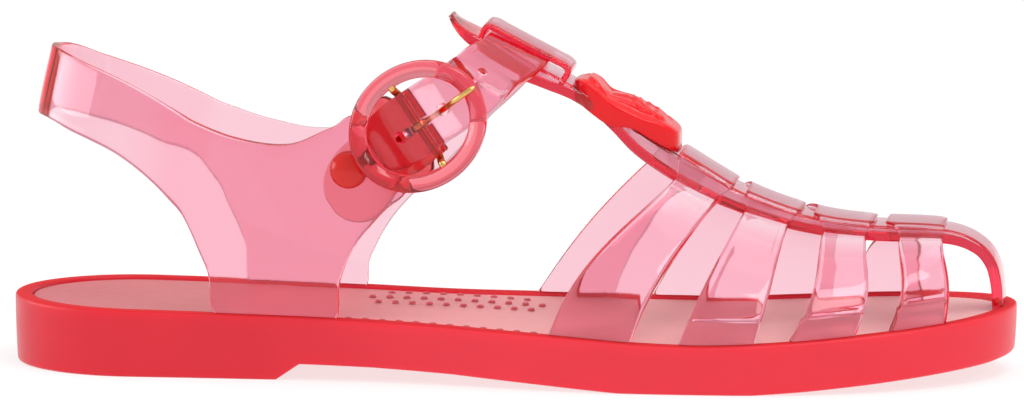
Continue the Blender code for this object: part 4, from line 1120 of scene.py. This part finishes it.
def red_pvc(name, a, b, specular, rough, grain):
    mat, tree, shader = material(name)
    colour_range(tree, shader, 240.0, a, b)
    shader.inputs["Subsurface Weight"].default_value = 0.35
    shader.inputs["Subsurface Radius"].default_value = (1.0, 0.2, 0.2)
    shader.inputs["Subsurface Scale"].default_value = 0.003
    shader.inputs["Specular IOR Level"].default_value = specular
    rough_range(tree, shader, 400.0, rough * 0.8, rough * 1.2)
    add_bump(tree, shader, [(90.0, 0.08, 0.0005), (1600.0, grain, 0.0001)])
    return mat


def gold(name):
    mat, tree, shader = material(name)
    colour_range(tree, shader, 500.0, (0.78, 0.50, 0.17), (0.70, 0.42, 0.13))
    shader.inputs["Metallic"].default_value = 1.0
    rough_range(tree, shader, 700.0, 0.14, 0.28)
    add_bump(tree, shader, [(1500.0, 0.05, 0.00005)])
    return mat


def floor_paint():
    """White table that is lit a little from within."""
    mat, tree, shader = material("floor_paint")
    colour_range(tree, shader, 3.0, (0.30, 0.30, 0.30), (0.31, 0.31, 0.31))
    shader.inputs["Roughness"].default_value = 0.9
    shader.inputs["Specular IOR Level"].default_value = 0.05
    shader.inputs["Emission Color"].default_value = (1.0, 1.0, 1.0, 1.0)
    shader.inputs["Emission Strength"].default_value = 0.71
    return mat


# ------------------------------------------------------------ build
PINK = clear_pvc("upper_pvc", (0.922, 0.85, 0.87), 240.0, (0.998, 0.03, 0.30), 0.05)
RING = clear_pvc("ring_pvc", (0.92, 0.89, 0.89), 420.0, (0.995, 0.04, 0.16), 0.06)
TAB = clear_pvc("tab_pvc", (0.92, 0.85, 0.84), 900.0, (0.93, 0.04, 0.06), 0.10)
DEEP = red_pvc("badge_pvc", (0.80, 0.006, 0.010), (0.83, 0.009, 0.014), 0.30, 0.16, 0.05)
RIVET = red_pvc("rivet_pvc", (0.62, 0.010, 0.005), (0.67, 0.014, 0.008), 0.40, 0.16, 0.03)
STUD = red_pvc("stud_pvc", (0.60, 0.085, 0.11), (0.66, 0.11, 0.13), 0.3, 0.35, 0.04)
SOLE, FOOTBED = sole_pvc(), footbed_pvc()
GOLD = gold("gold_metal")

PIECES = [
    # piece, CAD nodes that it stands for, record slot, material
    (sole_piece(), ("sole",), "sole", SOLE),
    (footbed_piece(), ("insole",), "insole", FOOTBED),
    (footbed_dots(), (), "insole", STUD),
    (vamp_piece(), ("upper_vamp",), "upper_vamp", PINK),
    (quarter_piece(), ("upper_quarter",), "upper_quarter", PINK),
    (tab_piece(), (), "upper_quarter", TAB),
    (badge_piece(), ("badge",), "badge", DEEP),
    (ring_piece(), ("buckle_ring",), "buckle_ring", RING),
    (bar_piece(), ("buckle_bar",), "buckle_bar", GOLD),
    (prong_piece(), ("buckle_prong",), "buckle_prong", GOLD),
    (rivet_piece(), ("rivet",), "rivet", RIVET),
]
for piece, nodes, slot, mat in PIECES:
    piece.data.materials.clear()
    piece.data.materials.append(mat)
    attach(piece, "root")
    if nodes:
        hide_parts(*nodes)


# ------------------------------------------------------------ floor, light, camera
def floor():
    size = 6.0
    mesh = bpy.data.meshes.new("floor")
    mesh.from_pydata([(-size, -size, 0), (size, -size, 0), (size, size, 0), (-size, size, 0)],
                     [], [(0, 1, 2, 3)])
    obj = bpy.data.objects.new("floor", mesh)
    SCENE.collection.objects.link(obj)
    obj.data.materials.append(floor_paint())


def soft_light(name, place, target, size, power):
    light = bpy.data.lights.new(name, "AREA")
    light.shape, light.size, light.size_y = "RECTANGLE", size[0], size[1]
    light.energy = power
    obj = bpy.data.objects.new(name, light)
    obj.location = place
    obj.rotation_euler = (Vector(target) - Vector(place)).to_track_quat("-Z", "Y").to_euler()
    SCENE.collection.objects.link(obj)


def studio():
    world = bpy.data.worlds.new("studio")
    SCENE.world = world
    world.use_nodes = True
    back = world.node_tree.nodes["Background"]
    back.inputs["Color"].default_value = (1.0, 1.0, 1.0, 1.0)
    back.inputs["Strength"].default_value = 0.76
    soft_light("front_strip", (0.62, -0.45, 1.42), (0, 0, 0.04), (1.15, 0.42), 7.5)
    soft_light("left_panel", (-1.22, 0.0, 0.30), (0, 0, 0.05), (1.2, 0.40), 4.6)
    soft_light("right_box", (0.96, -0.96, 0.85), (0, 0, 0.06), (0.5, 0.3), 2.2)
    soft_light("top_box", (0.0, 0.3, 1.5), (0, 0, 0), (1.6, 1.0), 3.0)


AZIMUTH, ELEVATION = math.radians(6.5), math.radians(8.4)
PIXELS_PER_MM, FRAME_WIDTH, DISTANCE = 3.945, 1024, 3.0
LOOK_AT = (np.array([127.05, 0.0, 40.04]) - ORIGIN) * MM


def camera():
    data = bpy.data.cameras.new("camera")
    data.sensor_width = 36.0
    data.lens = 36.0 * DISTANCE / (FRAME_WIDTH / PIXELS_PER_MM * MM)
    data.clip_end = 60.0
    obj = bpy.data.objects.new("camera", data)
    back = Vector((math.sin(AZIMUTH) * math.cos(ELEVATION),
                   -math.cos(AZIMUTH) * math.cos(ELEVATION), math.sin(ELEVATION)))
    obj.location = Vector(LOOK_AT) + back * DISTANCE
    obj.rotation_euler = back.to_track_quat("Z", "Y").to_euler()
    SCENE.collection.objects.link(obj)
    SCENE.camera = obj


floor()
studio()
camera()
SCENE.view_settings.view_transform = "Standard"
SCENE.view_settings.look = "None"
SCENE.cycles.max_bounces = 40
SCENE.cycles.transmission_bounces = 40
SCENE.cycles.glossy_bounces = 40
SCENE.cycles.diffuse_bounces = 5
